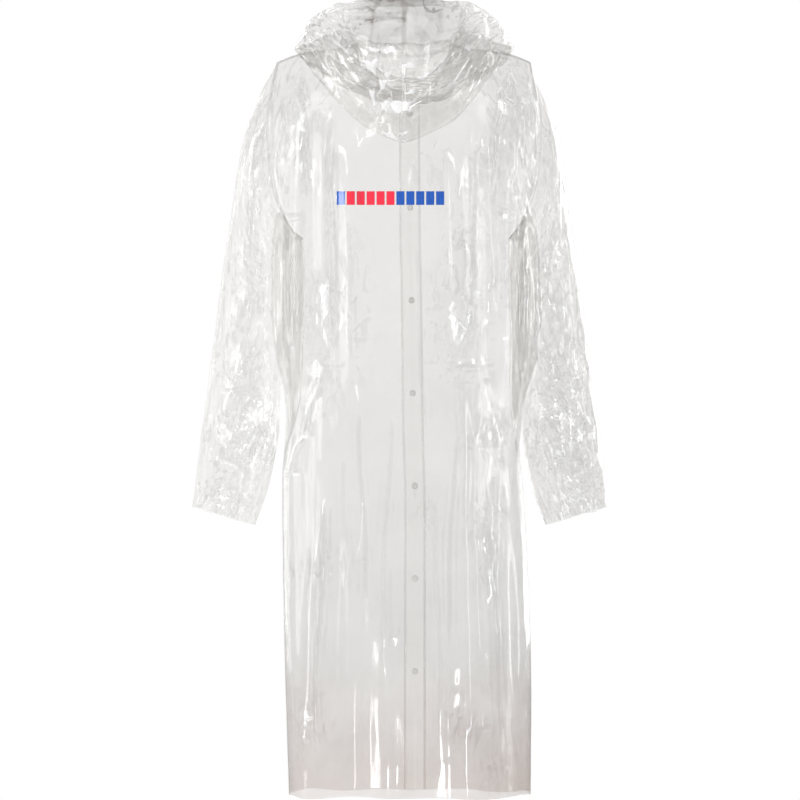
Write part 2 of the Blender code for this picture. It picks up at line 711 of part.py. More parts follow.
def body_panels():
    """Back and two fronts, with the quarter grids that the sleeves start from."""
    quarters = {(side, back): half_panel(side, back) for side in (-1, 1) for back in (True, False)}
    left, right = quarters[-1, False], quarters[1, False]
    back_grid = [
        list(reversed(far[1:])) + near for far, near in zip(quarters[-1, True], quarters[1, True])
    ]
    half = SEAM_GAP / 2
    laps = add_lap(left, right, LAP_LIFT), add_lap(right, left, 0.0)
    panels = [
        Panel("back", back_grid, {"start": half, "end": half, "top": half}),
        Panel("front_left", laps[0], {"end": half, "top": half}),
        Panel("front_right", laps[1], {"end": half, "top": half}, flip=True),
    ]
    return panels, quarters


def add_snaps(label, wall, front_grid, outwards):
    """Row of snap halves on one face of a front, whose wall is given as a search tree."""
    column = [row[LAP_COLUMNS] for row in front_grid]
    for i in range(SNAP_COUNT):
        z = SNAP_TOP_Z - SNAP_PITCH * i
        for low, high in zip(column, column[1:]):
            if low.z <= z < high.z:
                along = (high - low).normalized()
                out = Vector((0.0, along.z, -along.y)).normalized() * outwards
                centre = low.lerp(high, (z - low.z) / (high.z - low.z))
                add_snap(f"{label}_{i + 1}", wall, centre, out)


def build_coat():
    """Builds every piece of the coat."""
    clear_scene()
    panels, quarters = body_panels()
    tree = body_tree(quarters)
    half = SEAM_GAP / 2
    for side, label in ((-1, "left"), (1, "right")):
        loop = armhole_loop(side, quarters[side, True], quarters[side, False])
        rings = sleeve_rings(side, loop, tree)
        panels.append(Panel("sleeve_" + label, rings, {"hem": half}, closed=True, flip=side < 0))
        hood = hood_rows(side, tree)
        gaps = {"hem": NECK_GAP, "start": half, "end": HOOD_FRONT_GAP}
        panels.append(Panel("hood_" + label, hood, gaps, flip=side < 0))
    walls = {panel.name: build_wall(panel, panels) for panel in panels}
    grids = {panel.name: panel.grid for panel in panels}
    add_snaps("snap_cap", walls["front_left"], grids["front_left"], 1)
    add_snaps("snap_stud", walls["front_right"], grids["front_right"], -1)


build_coat()
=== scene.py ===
"""Looks of a clear film rain coat with a hood, filled out and with nobody in it.

Metres, +Z up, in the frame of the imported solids: the origin is the middle of the neck, the back of
the coat faces -Y and +X is the image's right. Each sheet of film follows the same sections and edge
curves as its solid, at a finer step, and then takes the crumpling and the creases of the real film.
"""

from __future__ import annotations

import logging
import math
from dataclasses import dataclass, field
from enum import Enum
from typing import Any, NamedTuple, Sequence

import bmesh
import bpy
import numpy as np
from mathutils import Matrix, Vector
from mathutils.bvhtree import BVHTree


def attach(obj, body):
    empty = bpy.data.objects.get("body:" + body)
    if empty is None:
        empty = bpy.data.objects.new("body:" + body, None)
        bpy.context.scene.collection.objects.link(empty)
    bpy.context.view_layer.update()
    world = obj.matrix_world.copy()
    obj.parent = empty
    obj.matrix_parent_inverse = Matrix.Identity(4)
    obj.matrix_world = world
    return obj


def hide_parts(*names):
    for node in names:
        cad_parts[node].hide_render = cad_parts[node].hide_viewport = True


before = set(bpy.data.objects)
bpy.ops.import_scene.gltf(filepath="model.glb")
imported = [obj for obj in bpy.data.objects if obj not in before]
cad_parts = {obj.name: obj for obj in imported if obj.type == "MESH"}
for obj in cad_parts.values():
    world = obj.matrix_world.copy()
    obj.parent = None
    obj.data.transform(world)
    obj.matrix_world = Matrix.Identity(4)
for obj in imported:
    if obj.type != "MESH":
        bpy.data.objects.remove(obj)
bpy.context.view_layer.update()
LOG = logging.getLogger("coat")
Grid = np.ndarray  # rows x columns x 3


class Half(Enum):
    """Which half of the coat, by the sign of its X."""

    LEFT = -1
    RIGHT = 1


class Wall(Enum):
    """Which wall of the body."""

    BACK = -1
    FRONT = 1


# ---------------------------------------------------------------- mesh density
NECK_STEPS = 24  # columns of a quarter of the body that end on the neckline
SHOULDER_STEPS = 52  # and on the shoulder seam
BODY_STEPS = 214  # rows from the hem to the underarm
YOKE_STEPS = 72  # rows from the underarm to the shoulder
SLEEVE_STEPS = 168  # rows from the armhole to the cuff
HOOD_STEPS = 150  # rows from the neck seam to the rim
HOOD_COLUMNS = 88  # columns of one half of the hood
FINE = 480  # steps along a curve before it is cut evenly

# ---------------------------------------------------------------- driving sizes
FILM = 0.0005  # thickness of the film as modelled
LAP_HALF = 0.018  # half the width by which the fronts overlap
LAP_STEP = 0.0038  # distance between columns of the lap
LAP_LIFT = 0.0024  # how far the upper front lies off the lower one
UNDERARM_Z = -0.295  # height of the lowest point of the armhole
ARM_ANGLE = 3.0  # degrees forward of +X where the sleeve presses into the body
ARM_DENT_WIDTH = 17.5  # degrees over which it does so
ARMHOLE_PULL = 3.0  # how tightly the armhole's pull keeps to the side, as a power
ARMHOLE_FADE = 0.55  # share of the sleeve over which the armhole's shape dies out
SIDE_FADE = 0.22  # share of a quarter over which the folds die out at its side
CLEARANCE = 0.0026  # least distance kept between film of the body and of sleeves or hood
CLOSING_TOP = 0.009  # where the closing line meets the neckline, off the middle
PIN = 0.014  # distance from a welded edge over which crumpling dies out


class Section(NamedTuple):
    """Body section: height, centre, half width, depths, squareness, hollow, closing line."""

    z: float
    middle: float
    half: float
    back: float
    front: float
    square: float
    dent: float
    closing: float


SECTIONS = np.array(
    [
        Section(-1.1995, 0.0095, 0.1970, 0.150, 0.150, 2.30, 0.000, 0.018),
        Section(-0.965, 0.0060, 0.2005, 0.146, 0.148, 2.40, 0.000, 0.018),
        Section(-0.720, -0.0020, 0.1965, 0.143, 0.146, 2.60, 0.000, 0.018),
        Section(-0.647, -0.0040, 0.1985, 0.142, 0.145, 2.80, 0.008, 0.016),
        Section(-0.557, 0.0020, 0.2100, 0.141, 0.143, 3.10, 0.038, 0.014),
        Section(-0.450, 0.0040, 0.2310, 0.140, 0.141, 3.40, 0.062, 0.013),
        Section(-0.360, 0.0040, 0.2320, 0.139, 0.138, 3.50, 0.066, 0.012),
        Section(UNDERARM_Z, 0.0030, 0.2290, 0.137, 0.135, 3.50, 0.062, 0.010),
    ]
)
BACK_ARMHOLE = [
    (0.187, -0.034, -0.272),
    (0.211, -0.066, -0.218),
    (0.220, -0.074, -0.150),
    (0.219, -0.052, -0.074),
]
FRONT_ARMHOLE = [
    (0.187, 0.048, -0.272),
    (0.208, 0.078, -0.218),
    (0.216, 0.082, -0.150),
    (0.216, 0.056, -0.074),
]
SHOULDER_POINT = (0.207, 0.002, -0.007)
CENTRE_BACK = [(-0.136, -0.220), (-0.128, -0.130), (-0.110, -0.060), (-0.086, -0.020)]
CENTRE_FRONT = [(0.133, -0.230), (0.124, -0.165), (0.108, -0.108)]


class HoodLoop(NamedTuple):
    """Loop round the neck from the centre back past the side to the front end."""

    back_y: float
    back_z: float
    side_x: float
    side_y: float
    side_z: float
    front_y: float
    front_z: float
    point: float


NECKLINE = HoodLoop(-0.062, 0.000, 0.075, 0.005, 0.025, 0.088, -0.070, 1.0)
HOOD_LOOPS = np.array(
    [
        NECKLINE,
        HoodLoop(-0.067, 0.016, 0.081, 0.004, 0.040, 0.091, -0.056, 1.0),
        HoodLoop(-0.086, 0.014, 0.099, 0.002, 0.046, 0.104, -0.050, 1.3),
        HoodLoop(-0.114, -0.040, 0.128, -0.003, 0.036, 0.118, -0.060, 1.8),
        HoodLoop(-0.138, -0.106, 0.156, -0.008, 0.022, 0.126, -0.070, 2.2),
        HoodLoop(-0.151, -0.140, 0.175, -0.012, 0.017, 0.132, -0.066, 2.2),
        HoodLoop(-0.167, -0.118, 0.178, -0.014, 0.016, 0.134, -0.052, 2.2),
        HoodLoop(-0.177, -0.052, 0.170, -0.014, 0.034, 0.130, -0.040, 1.9),
        HoodLoop(-0.169, 0.018, 0.152, -0.012, 0.059, 0.122, -0.032, 1.4),
        HoodLoop(-0.144, 0.074, 0.132, -0.010, 0.077, 0.113, -0.028, 1.1),
        HoodLoop(-0.122, 0.089, 0.112, -0.008, 0.086, 0.105, -0.030, 1.0),
        HoodLoop(-0.102, 0.078, 0.098, -0.006, 0.077, 0.099, -0.037, 1.0),
    ]
)


class Station(NamedTuple):
    """Sleeve station: outer and inner edge across and up, half its depth and where that lies."""

    outer_x: float
    outer_z: float
    inner_x: float
    inner_z: float
    depth: float
    middle_y: float


STATIONS = np.array(
    [
        Station(0.2070, -0.0070, 0.1690, -0.2950, 0.078, 0.003),
        Station(0.2310, -0.0500, 0.1800, -0.2985, 0.078, 0.004),
        Station(0.2510, -0.1120, 0.1860, -0.3080, 0.076, 0.006),
        Station(0.2625, -0.1680, 0.1890, -0.3230, 0.071, 0.008),
        Station(0.2730, -0.2360, 0.1900, -0.3460, 0.066, 0.010),
        Station(0.2835, -0.3050, 0.1900, -0.3790, 0.062, 0.011),
        Station(0.2940, -0.3780, 0.1900, -0.4280, 0.060, 0.012),
        Station(0.3060, -0.4760, 0.1920, -0.4980, 0.060, 0.013),
        Station(0.3160, -0.5490, 0.1950, -0.5620, 0.061, 0.015),
        Station(0.3270, -0.6220, 0.2000, -0.6310, 0.061, 0.020),
        Station(0.3350, -0.6900, 0.2150, -0.6980, 0.057, 0.028),
        Station(0.3390, -0.7320, 0.2370, -0.7620, 0.052, 0.036),
    ]
)
SLEEVE_SPREAD = {Half.LEFT: 0.0065, Half.RIGHT: -0.0065}
# Milkiness of each sleeve; the left one is kept lighter as painted light from the lamps on the left.
SLEEVE_HAZE_AND_SHADE = {Half.LEFT: 0.28, Half.RIGHT: 0.60}


class Fold(NamedTuple):
    """Long soft fold of the body: place across, ends, drift on its way down, half width, depth."""

    across: float
    top: float
    bottom: float
    drift: float
    width: float
    depth: float


FOLDS = {
    Wall.BACK: [
        Fold(-0.168, -0.05, -0.50, -0.010, 0.026, 0.0100),
        Fold(-0.132, -0.06, -0.38, 0.004, 0.022, 0.0080),
        Fold(-0.088, -0.12, -0.62, 0.006, 0.024, 0.0080),
        Fold(-0.192, -0.24, -0.66, 0.004, 0.022, -0.0060),
        Fold(-0.122, -0.46, -1.22, -0.030, 0.030, 0.0080),
        Fold(-0.045, -0.55, -1.22, 0.010, 0.032, 0.0060),
        Fold(0.084, -0.10, -0.52, 0.008, 0.024, 0.0080),
        Fold(0.128, -0.05, -0.46, 0.010, 0.024, 0.0090),
        Fold(0.172, -0.04, -0.50, 0.008, 0.026, 0.0100),
        Fold(0.194, -0.22, -0.66, 0.000, 0.022, -0.0060),
        Fold(0.086, -0.50, -1.22, 0.018, 0.028, 0.0090),
        Fold(0.134, -0.62, -1.22, 0.030, 0.030, 0.0080),
        Fold(0.172, -0.72, -1.22, -0.012, 0.026, -0.0060),
    ],
    Wall.FRONT: [
        Fold(-0.165, -0.05, -0.58, -0.006, 0.026, 0.0100),
        Fold(-0.108, -0.10, -0.68, 0.008, 0.026, 0.0080),
        Fold(-0.150, -0.62, -1.22, 0.010, 0.030, 0.0080),
        Fold(-0.078, -0.70, -1.22, -0.008, 0.030, 0.0060),
        Fold(0.165, -0.05, -0.56, -0.004, 0.026, 0.0100),
        Fold(0.112, -0.12, -0.72, 0.006, 0.026, 0.0080),
        Fold(0.160, -0.60, -1.22, 0.006, 0.030, 0.0080),
        Fold(0.100, -0.70, -1.22, 0.010, 0.030, 0.0070),
    ],
}


class Wrinkle(NamedTuple):
    """Soft crease of a sleeve: share of its length, angle, half run, tilt, half width, depth."""

    down: float
    angle: float
    run: float
    tilt: float
    width: float
    depth: float


SLEEVE_WRINKLES = [
    Wrinkle(0.30, 95.0, 55.0, 0.10, 0.050, -0.0060),
    Wrinkle(0.52, 120.0, 60.0, -0.08, 0.045, -0.0060),
    Wrinkle(0.70, 70.0, 70.0, 0.06, 0.035, -0.0055),
    Wrinkle(0.78, 110.0, 60.0, -0.07, 0.035, 0.0050),
    Wrinkle(0.88, 80.0, 55.0, 0.08, 0.035, -0.0050),
    Wrinkle(0.60, 255.0, 60.0, 0.07, 0.045, -0.0055),
    Wrinkle(0.80, 280.0, 60.0, -0.06, 0.040, -0.0050),
]


class Pucker(NamedTuple):
    """Gathered spot of the hood: degrees from the centre back, share up, sizes, depth."""

    round: float
    climb: float
    round_width: float
    climb_width: float
    depth: float


HOOD_PUCKERS = [
    Pucker(-62.0, 0.62, 16.0, 0.07, -0.0070),
    Pucker(-78.0, 0.72, 18.0, 0.05, 0.0050),
    Pucker(-40.0, 0.68, 12.0, 0.06, 0.0055),
    Pucker(-14.0, 0.60, 9.0, 0.10, -0.0060),
    Pucker(18.0, 0.66, 9.0, 0.11, -0.0065),
    Pucker(44.0, 0.62, 12.0, 0.08, 0.0055),
    Pucker(64.0, 0.70, 14.0, 0.06, -0.0065),
    Pucker(110.0, 0.62, 20.0, 0.07, -0.0050),
    Pucker(-112.0, 0.64, 20.0, 0.07, -0.0050),
]


class Crease(NamedTuple):
    """Sharp crease seen flat on: both ends across and up, half width, and how far it stands out."""

    x1: float
    z1: float
    x2: float
    z2: float
    width: float
    depth: float


BACK_CREASES = [
    Crease(0.173, -0.023, 0.150, -0.064, 0.0060, 0.0025),  # pulls under the right shoulder
    Crease(0.173, -0.023, 0.202, -0.059, 0.0060, 0.0025),
    Crease(0.196, -0.062, 0.163, -0.244, 0.0075, 0.0045),  # two sides of the right wedge
    Crease(0.209, -0.065, 0.222, -0.186, 0.0070, 0.0040),
    Crease(0.156, -0.251, 0.212, -0.251, 0.0050, -0.0030),  # its level foot
    Crease(0.170, -0.258, 0.176, -0.333, 0.0060, 0.0025),
    Crease(0.196, -0.258, 0.199, -0.394, 0.0070, 0.0030),
    Crease(0.225, -0.414, 0.209, -0.476, 0.0060, 0.0030),  # zigzag beside the right sleeve
    Crease(0.209, -0.476, 0.225, -0.544, 0.0060, 0.0030),
    Crease(0.225, -0.544, 0.205, -0.623, 0.0060, 0.0030),
    Crease(0.187, -0.362, 0.184, -0.496, 0.0060, 0.0030),
    Crease(0.186, -0.502, 0.189, -0.597, 0.0060, 0.0025),
    Crease(0.104, -0.502, 0.153, -0.502, 0.0045, -0.0022),
    Crease(0.143, -0.561, 0.179, -0.610, 0.0050, 0.0022),
    Crease(0.132, -0.720, 0.174, -0.747, 0.0050, 0.0022),
    Crease(0.117, -0.388, 0.078, -0.499, 0.0065, 0.0035),  # triangle over the level fold
    Crease(0.060, -0.499, 0.130, -0.500, 0.0045, -0.0028),
    Crease(0.117, -0.388, 0.124, -0.496, 0.0055, 0.0025),
    Crease(0.095, -0.512, 0.101, -0.786, 0.0090, 0.0035),
    Crease(0.124, -0.769, 0.150, -0.890, 0.0080, 0.0035),
    Crease(-0.191, -0.033, -0.173, -0.065, 0.0060, 0.0028),  # left wedge
    Crease(-0.173, -0.065, -0.161, -0.134, 0.0090, 0.0050),
    Crease(-0.171, -0.142, -0.163, -0.231, 0.0075, 0.0030),
    Crease(-0.183, -0.277, -0.183, -0.479, 0.0060, 0.0030),
    Crease(-0.152, -0.365, -0.153, -0.487, 0.0060, 0.0035),  # bright left band and its foot
    Crease(-0.126, -0.362, -0.122, -0.487, 0.0060, 0.0035),
    Crease(-0.160, -0.487, -0.121, -0.489, 0.0045, -0.0028),
    Crease(-0.129, -0.492, -0.163, -0.610, 0.0080, 0.0035),
    Crease(-0.163, -0.610, -0.194, -0.678, 0.0080, 0.0035),
    Crease(-0.197, -0.678, -0.156, -0.678, 0.0050, -0.0022),
    Crease(-0.090, -0.254, -0.086, -0.512, 0.0075, 0.0030),
    Crease(-0.121, -0.068, -0.127, -0.469, 0.0075, 0.0030),
    Crease(-0.165, -0.241, -0.170, -0.469, 0.0075, 0.0030),
    Crease(-0.082, -0.461, -0.051, -0.461, 0.0045, -0.0022),
    Crease(0.020, -0.300, 0.034, -0.640, 0.0080, 0.0022),
    Crease(-0.020, -0.560, -0.040, -1.020, 0.0100, 0.0025),
    Crease(0.050, -0.700, 0.060, -1.150, 0.0090, 0.0025),
    Crease(-0.140, -0.760, -0.165, -1.180, 0.0090, 0.0030),
    Crease(0.150, -0.900, 0.185, -1.190, 0.0090, 0.0030),
    Crease(-0.100, -0.640, -0.090, -0.900, 0.0080, 0.0022),
    Crease(-0.172, -1.078, -0.148, -1.081, 0.0050, 0.0028),  # short glints near the hem
    Crease(-0.172, -1.100, -0.150, -1.104, 0.0050, 0.0028),
    Crease(0.096, -1.094, 0.112, -1.084, 0.0050, 0.0028),
    Crease(0.120, -1.086, 0.140, -1.082, 0.0050, 0.0028),
    Crease(0.126, -0.755, 0.146, -0.792, 0.0055, 0.0030),
    Crease(0.150, -0.792, 0.136, -0.850, 0.0055, 0.0030),
    Crease(-0.082, -0.820, -0.058, -0.812, 0.0050, 0.0026),
    Crease(-0.016, -0.945, -0.004, -0.925, 0.0050, 0.0026),
    Crease(0.030, -0.745, 0.046, -0.741, 0.0050, 0.0026),
]
FRONT_CREASES = [
    Crease(-0.170, -0.030, -0.150, -0.230, 0.0075, 0.0045),
    Crease(-0.196, -0.060, -0.205, -0.180, 0.0070, 0.0035),
    Crease(-0.210, -0.252, -0.150, -0.251, 0.0050, -0.0028),
    Crease(-0.120, -0.120, -0.112, -0.420, 0.0075, 0.0030),
    Crease(-0.182, -0.300, -0.186, -0.520, 0.0065, 0.0030),
    Crease(-0.150, -0.500, -0.090, -0.502, 0.0045, -0.0025),
    Crease(-0.140, -0.510, -0.170, -0.640, 0.0080, 0.0035),
    Crease(-0.075, -0.560, -0.060, -0.940, 0.0090, 0.0025),
    Crease(-0.130, -0.700, -0.150, -1.150, 0.0090, 0.0030),
    Crease(0.168, -0.030, 0.142, -0.210, 0.0075, 0.0045),
    Crease(0.190, -0.060, 0.204, -0.200, 0.0070, 0.0035),
    Crease(0.120, -0.130, 0.108, -0.460, 0.0075, 0.0030),
    Crease(0.150, -0.252, 0.205, -0.250, 0.0050, -0.0028),
    Crease(0.180, -0.320, 0.178, -0.600, 0.0065, 0.0030),
    Crease(0.080, -0.502, 0.150, -0.500, 0.0045, -0.0025),
    Crease(0.130, -0.520, 0.165, -0.660, 0.0080, 0.0035),
    Crease(0.085, -0.600, 0.070, -1.000, 0.0090, 0.0025),
    Crease(0.140, -0.740, 0.165, -1.160, 0.0090, 0.0030),
]
SLEEVE_CREASES = {
    (Half.LEFT, Wall.BACK): [
        Crease(-0.259, -0.468, -0.295, -0.590, 0.0080, 0.0045),
        Crease(-0.238, -0.508, -0.256, -0.566, 0.0065, 0.0035),
        Crease(-0.243, -0.083, -0.226, -0.084, 0.0045, -0.0022),
        Crease(-0.232, -0.095, -0.250, -0.185, 0.0070, 0.0030),
        Crease(-0.268, -0.598, -0.208, -0.640, 0.0070, 0.0040),
        Crease(-0.306, -0.650, -0.262, -0.672, 0.0070, 0.0040),
        Crease(-0.300, -0.690, -0.240, -0.720, 0.0060, -0.0030),
        Crease(-0.262, -0.300, -0.250, -0.440, 0.0070, 0.0030),
    ],
    (Half.RIGHT, Wall.BACK): [
        Crease(0.240, -0.120, 0.252, -0.300, 0.0075, 0.0035),
        Crease(0.222, -0.300, 0.236, -0.420, 0.0065, 0.0030),
        Crease(0.262, -0.360, 0.250, -0.500, 0.0065, 0.0030),
        Crease(0.290, -0.540, 0.222, -0.590, 0.0070, 0.0040),
        Crease(0.300, -0.600, 0.230, -0.640, 0.0060, -0.0035),
        Crease(0.310, -0.660, 0.250, -0.700, 0.0065, 0.0040),
        Crease(0.262, -0.560, 0.276, -0.660, 0.0060, 0.0030),
        Crease(0.316, -0.700, 0.262, -0.734, 0.0060, -0.0030),
    ],
    (Half.LEFT, Wall.FRONT): [
        Crease(-0.240, -0.120, -0.252, -0.320, 0.0075, 0.0035),
        Crease(-0.285, -0.520, -0.225, -0.570, 0.0070, 0.0040),
        Crease(-0.300, -0.640, -0.240, -0.670, 0.0065, 0.0035),
    ],
    (Half.RIGHT, Wall.FRONT): [
        Crease(0.236, -0.130, 0.250, -0.340, 0.0075, 0.0035),
        Crease(0.225, -0.540, 0.290, -0.590, 0.0070, 0.0040),
        Crease(0.240, -0.650, 0.300, -0.680, 0.0065, 0.0035),
    ],
}
HOOD_CREASES = [
    Crease(-0.118, 0.020, -0.020, -0.105, 0.0080, 0.0040),
    Crease(-0.140, -0.010, -0.045, -0.100, 0.0070, -0.0030),
    Crease(0.120, 0.015, 0.030, -0.110, 0.0080, 0.0040),
    Crease(0.138, -0.015, 0.060, -0.090, 0.0070, -0.0030),
    Crease(-0.030, -0.140, 0.026, -0.139, 0.0045, 0.0022),
    Crease(-0.060, -0.020, -0.015, -0.090, 0.0060, 0.0030),
    Crease(0.065, -0.010, 0.020, -0.095, 0.0060, 0.0030),
    Crease(-0.150, 0.045, -0.060, 0.030, 0.0070, 0.0035),
    Crease(0.060, 0.034, 0.150, 0.040, 0.0070, 0.0035),
    Crease(-0.100, 0.060, 0.020, 0.055, 0.0065, -0.0030),
]


class Patch(NamedTuple):
    """Spot where the film is crumpled: place across and up, half its sizes, and how strongly."""

    x: float
    z: float
    wide: float
    high: float
    strength: float


BACK_PATCHES = [
    Patch(-0.165, -0.110, 0.040, 0.110, 0.9),  # left shoulder wedge
    Patch(0.189, -0.060, 0.055, 0.075, 0.9),  # right shoulder fan
    Patch(0.184, -0.230, 0.060, 0.170, 1.2),  # long right streak
    Patch(0.046, -0.190, 0.030, 0.065, 0.7),
    Patch(0.095, -0.430, 0.050, 0.085, 1.0),  # triangle over the level fold
    Patch(0.218, -0.500, 0.035, 0.130, 1.1),
    Patch(-0.108, -0.395, 0.040, 0.080, 0.6),
    Patch(-0.140, -0.470, 0.035, 0.110, 0.7),
    Patch(0.156, -0.606, 0.040, 0.060, 0.8),
    Patch(0.135, -0.780, 0.030, 0.080, 0.8),
    Patch(0.034, -0.720, 0.022, 0.050, 0.5),
    Patch(-0.153, -1.063, 0.035, 0.040, 0.6),
    Patch(0.124, -1.087, 0.050, 0.025, 0.5),
    Patch(0.156, -1.150, 0.040, 0.035, 0.6),
    Patch(-0.200, -0.450, 0.035, 0.200, 0.5),
]
FRONT_PATCHES = [
    Patch(-0.170, -0.120, 0.050, 0.120, 0.9),
    Patch(0.170, -0.120, 0.050, 0.120, 0.9),
    Patch(0.100, -0.330, 0.040, 0.120, 0.6),
    Patch(-0.110, -0.420, 0.045, 0.100, 0.7),
    Patch(0.140, -0.640, 0.045, 0.090, 0.7),
    Patch(-0.150, -0.820, 0.040, 0.080, 0.6),
    Patch(0.080, -1.050, 0.045, 0.060, 0.5),
]
SLEEVE_PATCHES = {
    Half.LEFT: [
        Patch(-0.243, -0.150, 0.035, 0.150, 0.8),
        Patch(-0.262, -0.430, 0.040, 0.130, 0.7),
        Patch(-0.250, -0.610, 0.060, 0.075, 1.2),
        Patch(-0.290, -0.725, 0.060, 0.040, 0.8),
    ],
    Half.RIGHT: [
        Patch(0.250, -0.200, 0.035, 0.170, 0.8),
        Patch(0.254, -0.440, 0.045, 0.130, 0.9),
        Patch(0.276, -0.620, 0.065, 0.120, 1.3),
        Patch(0.290, -0.740, 0.065, 0.040, 0.9),
    ],
}
HOOD_PATCHES = [
    Patch(-0.100, 0.010, 0.110, 0.120, 1.2),
    Patch(0.110, 0.000, 0.100, 0.110, 0.9),
    Patch(0.000, -0.080, 0.050, 0.090, 0.9),
    Patch(0.000, 0.075, 0.160, 0.040, 0.6),
]


# ---------------------------------------------------------------- curves and tables
def smooth(table: Grid, places: Grid) -> Grid:
    """Reads a table at places between its rows, smoothly.

    Args:
        table: The rows, each one set of numbers.
        places: Row numbers, whole or between two rows.

    Returns:
        One row of numbers for each place.
    """
    last = len(table) - 1
    places = np.clip(places, 0, last)
    i = np.minimum(places.astype(int), last - 1)
    t = (places - i)[:, None]
    before, start = table[np.maximum(i - 1, 0)], table[i]
    end, after = table[i + 1], table[np.minimum(i + 2, last)]
    leave, reach = (end - before) / 2, (after - start) / 2
    return (
        start * (2 * t**3 - 3 * t**2 + 1)
        + leave * (t**3 - 2 * t**2 + t)
        + end * (3 * t**2 - 2 * t**3)
        + reach * (t**3 - t**2)
    )


def even(line: Grid, shares: Grid) -> Grid:
    """Points at shares of a polyline's length.

    Args:
        line: The polyline's points.
        shares: Shares of its length, from 0 to 1.

    Returns:
        One point for each share.
    """
    steps = np.linalg.norm(np.diff(line, axis=0), axis=1)
    reach = np.concatenate([[0.0], np.cumsum(steps)])
    return np.stack([np.interp(shares * reach[-1], reach, line[:, k]) for k in range(3)], axis=1)


def hump(distance: Grid, width: float) -> Grid:
    """Smooth hump, 1 at its middle and 0 from one width away."""
    t = np.minimum(np.abs(distance) / width, 1.0)
    return (1 - t * t) ** 2


def tent(distance: Grid, width: float) -> Grid:
    """Sharp crest, 1 at its middle and 0 from one width away."""
    t = np.minimum(np.abs(distance) / width, 1.0)
    return (1 - t) ** 1.4


def ease(t: Grid) -> Grid:
    """0 to 1, level at both ends."""
    t = np.clip(t, 0.0, 1.0)
    return t * t * (3 - 2 * t)


def unit(vectors: Grid) -> Grid:
    """The vectors at length one."""
    return vectors / np.maximum(np.linalg.norm(vectors, axis=-1, keepdims=True), 1e-9)


def neck_loop(loop: Sequence[float], degrees: Grid, side: int) -> Grid:
    """Points of a loop round the neck.

    Args:
        loop: The numbers of a HoodLoop.
        degrees: Angles from the centre back (0) to the front end (180).
        side: Sign of X of this half.

    Returns:
        One point for each angle.
    """
    back_y, back_z, side_x, side_y, side_z, front_y, front_z, point = loop
    turn = np.radians(degrees)
    forward, backward = np.maximum(-np.cos(turn), 0.0), np.maximum(np.cos(turn), 0.0)
    x = side * side_x * np.sin(turn) + np.where(degrees > 90, CLOSING_TOP * (1 - np.sin(turn)), 0.0)
    y = side_y + (back_y - side_y) * backward + (front_y - side_y) * forward
    z = side_z + (back_z - side_z) * backward**point + (front_z - side_z) * forward**1.5
    return np.stack([x, y, z], axis=1)


# ---------------------------------------------------------------- crumpling
@dataclass(frozen=True)
class Crumple:
    """Flat facets with straight creases between them, as film shows once it has been packed.

    The height is one lower envelope of bowls less another, so that it is flat between creases.
    """

    across: float
    along: float
    height: float
    seed: int

    @staticmethod
    def scatter(i: Grid, j: Grid, seed: float) -> Grid:
        """A settled number from 0 to 1 for each cell."""
        return np.modf(np.abs(np.sin(i * 127.1 + j * 311.7 + seed * 74.7) * 43758.5453))[0]

    def envelope(self, u: Grid, v: Grid, seed: float, period: int) -> Grid:
        """Least of the bowls round scattered centres.

        Args:
            u: Place across, in cells.
            v: Place along, in cells.
            seed: Picks the scatter.
            period: Cells across after which the scatter repeats, or 0.

        Returns:
            The height of the lowest bowl.
        """
        i0, j0 = np.floor(u), np.floor(v)
        least = np.full(u.shape, np.inf)
        for di in (-1, 0, 1):
            for dj in (-1, 0, 1):
                i, j = i0 + di, j0 + dj
                k = np.mod(i, period) if period else i
                x = i + 0.5 + 0.9 * (self.scatter(k, j, seed) - 0.5)
                y = j + 0.5 + 0.9 * (self.scatter(k, j, seed + 1) - 0.5)
                bowl = (u - x) ** 2 + (v - y) ** 2 + 0.3 * self.scatter(k, j, seed + 2)
                least = np.minimum(least, bowl)
        return least

    def heights(self, u: Grid, v: Grid, round_length: float = 0.0) -> Grid:
        """Heights of the crumpled film.

        Args:
            u: Place across, in metres.
            v: Place along, in metres.
            round_length: Length after which it closes on itself across, or 0.

        Returns:
            Heights in metres.
        """
        cells = max(round(round_length / self.across), 1) if round_length else 0
        a = u * cells / round_length if cells else u / self.across
        b = v / self.along
        b = b + 0.35 * np.sin(2 * math.pi * (u / max(round_length, 0.31)) + self.seed)
        first = self.envelope(a, b, self.seed * 7.0, cells)
        second = self.envelope(a, b, self.seed * 7.0 + 3.5, cells)
        return self.height * (first - second)


def softened(height: Grid, passes: int) -> Grid:
    """The heights averaged a little with their neighbours, so that creases don't step.

    Args:
        height: The heights.
        passes: How often they are averaged.

    Returns:
        The softer heights.
    """
    for _ in range(passes):
        for axis in (0, 1):
            edge = [(1, 1) if k == axis else (0, 0) for k in (0, 1)]
            wide = np.pad(height, edge, mode="edge")
            places = np.arange(height.shape[axis])
            low, high = (np.take(wide, places + k, axis=axis) for k in (0, 2))
            height = height / 2 + (low + high) / 4
    return height


def crease_heights(points: Grid, creases: Sequence[Crease], facing: Grid) -> Grid:
    """Heights of the listed creases.

    Args:
        points: The sheet's points.
        creases: Creases, seen flat on.
        facing: 1 where the sheet faces the way the creases are seen from, to 0 where it faces away.

    Returns:
        Heights in metres.
    """
    x, z = points[..., 0], points[..., 2]
    total = np.zeros(x.shape)
    for c in creases:
        dx, dz = c.x2 - c.x1, c.z2 - c.z1
        length = math.hypot(dx, dz)
        along = ((x - c.x1) * dx + (z - c.z1) * dz) / length**2
        wander = 0.25 * c.width * np.sin(along * 9.0 + c.x1 * 300)
        off = ((x - c.x1) * dz - (z - c.z1) * dx) / length + wander
        fade = ease(along / 0.12) * ease((1 - along) / 0.2)
        total += c.depth * fade * tent(off, c.width * 1.25) * facing
    return softened(total, 2)


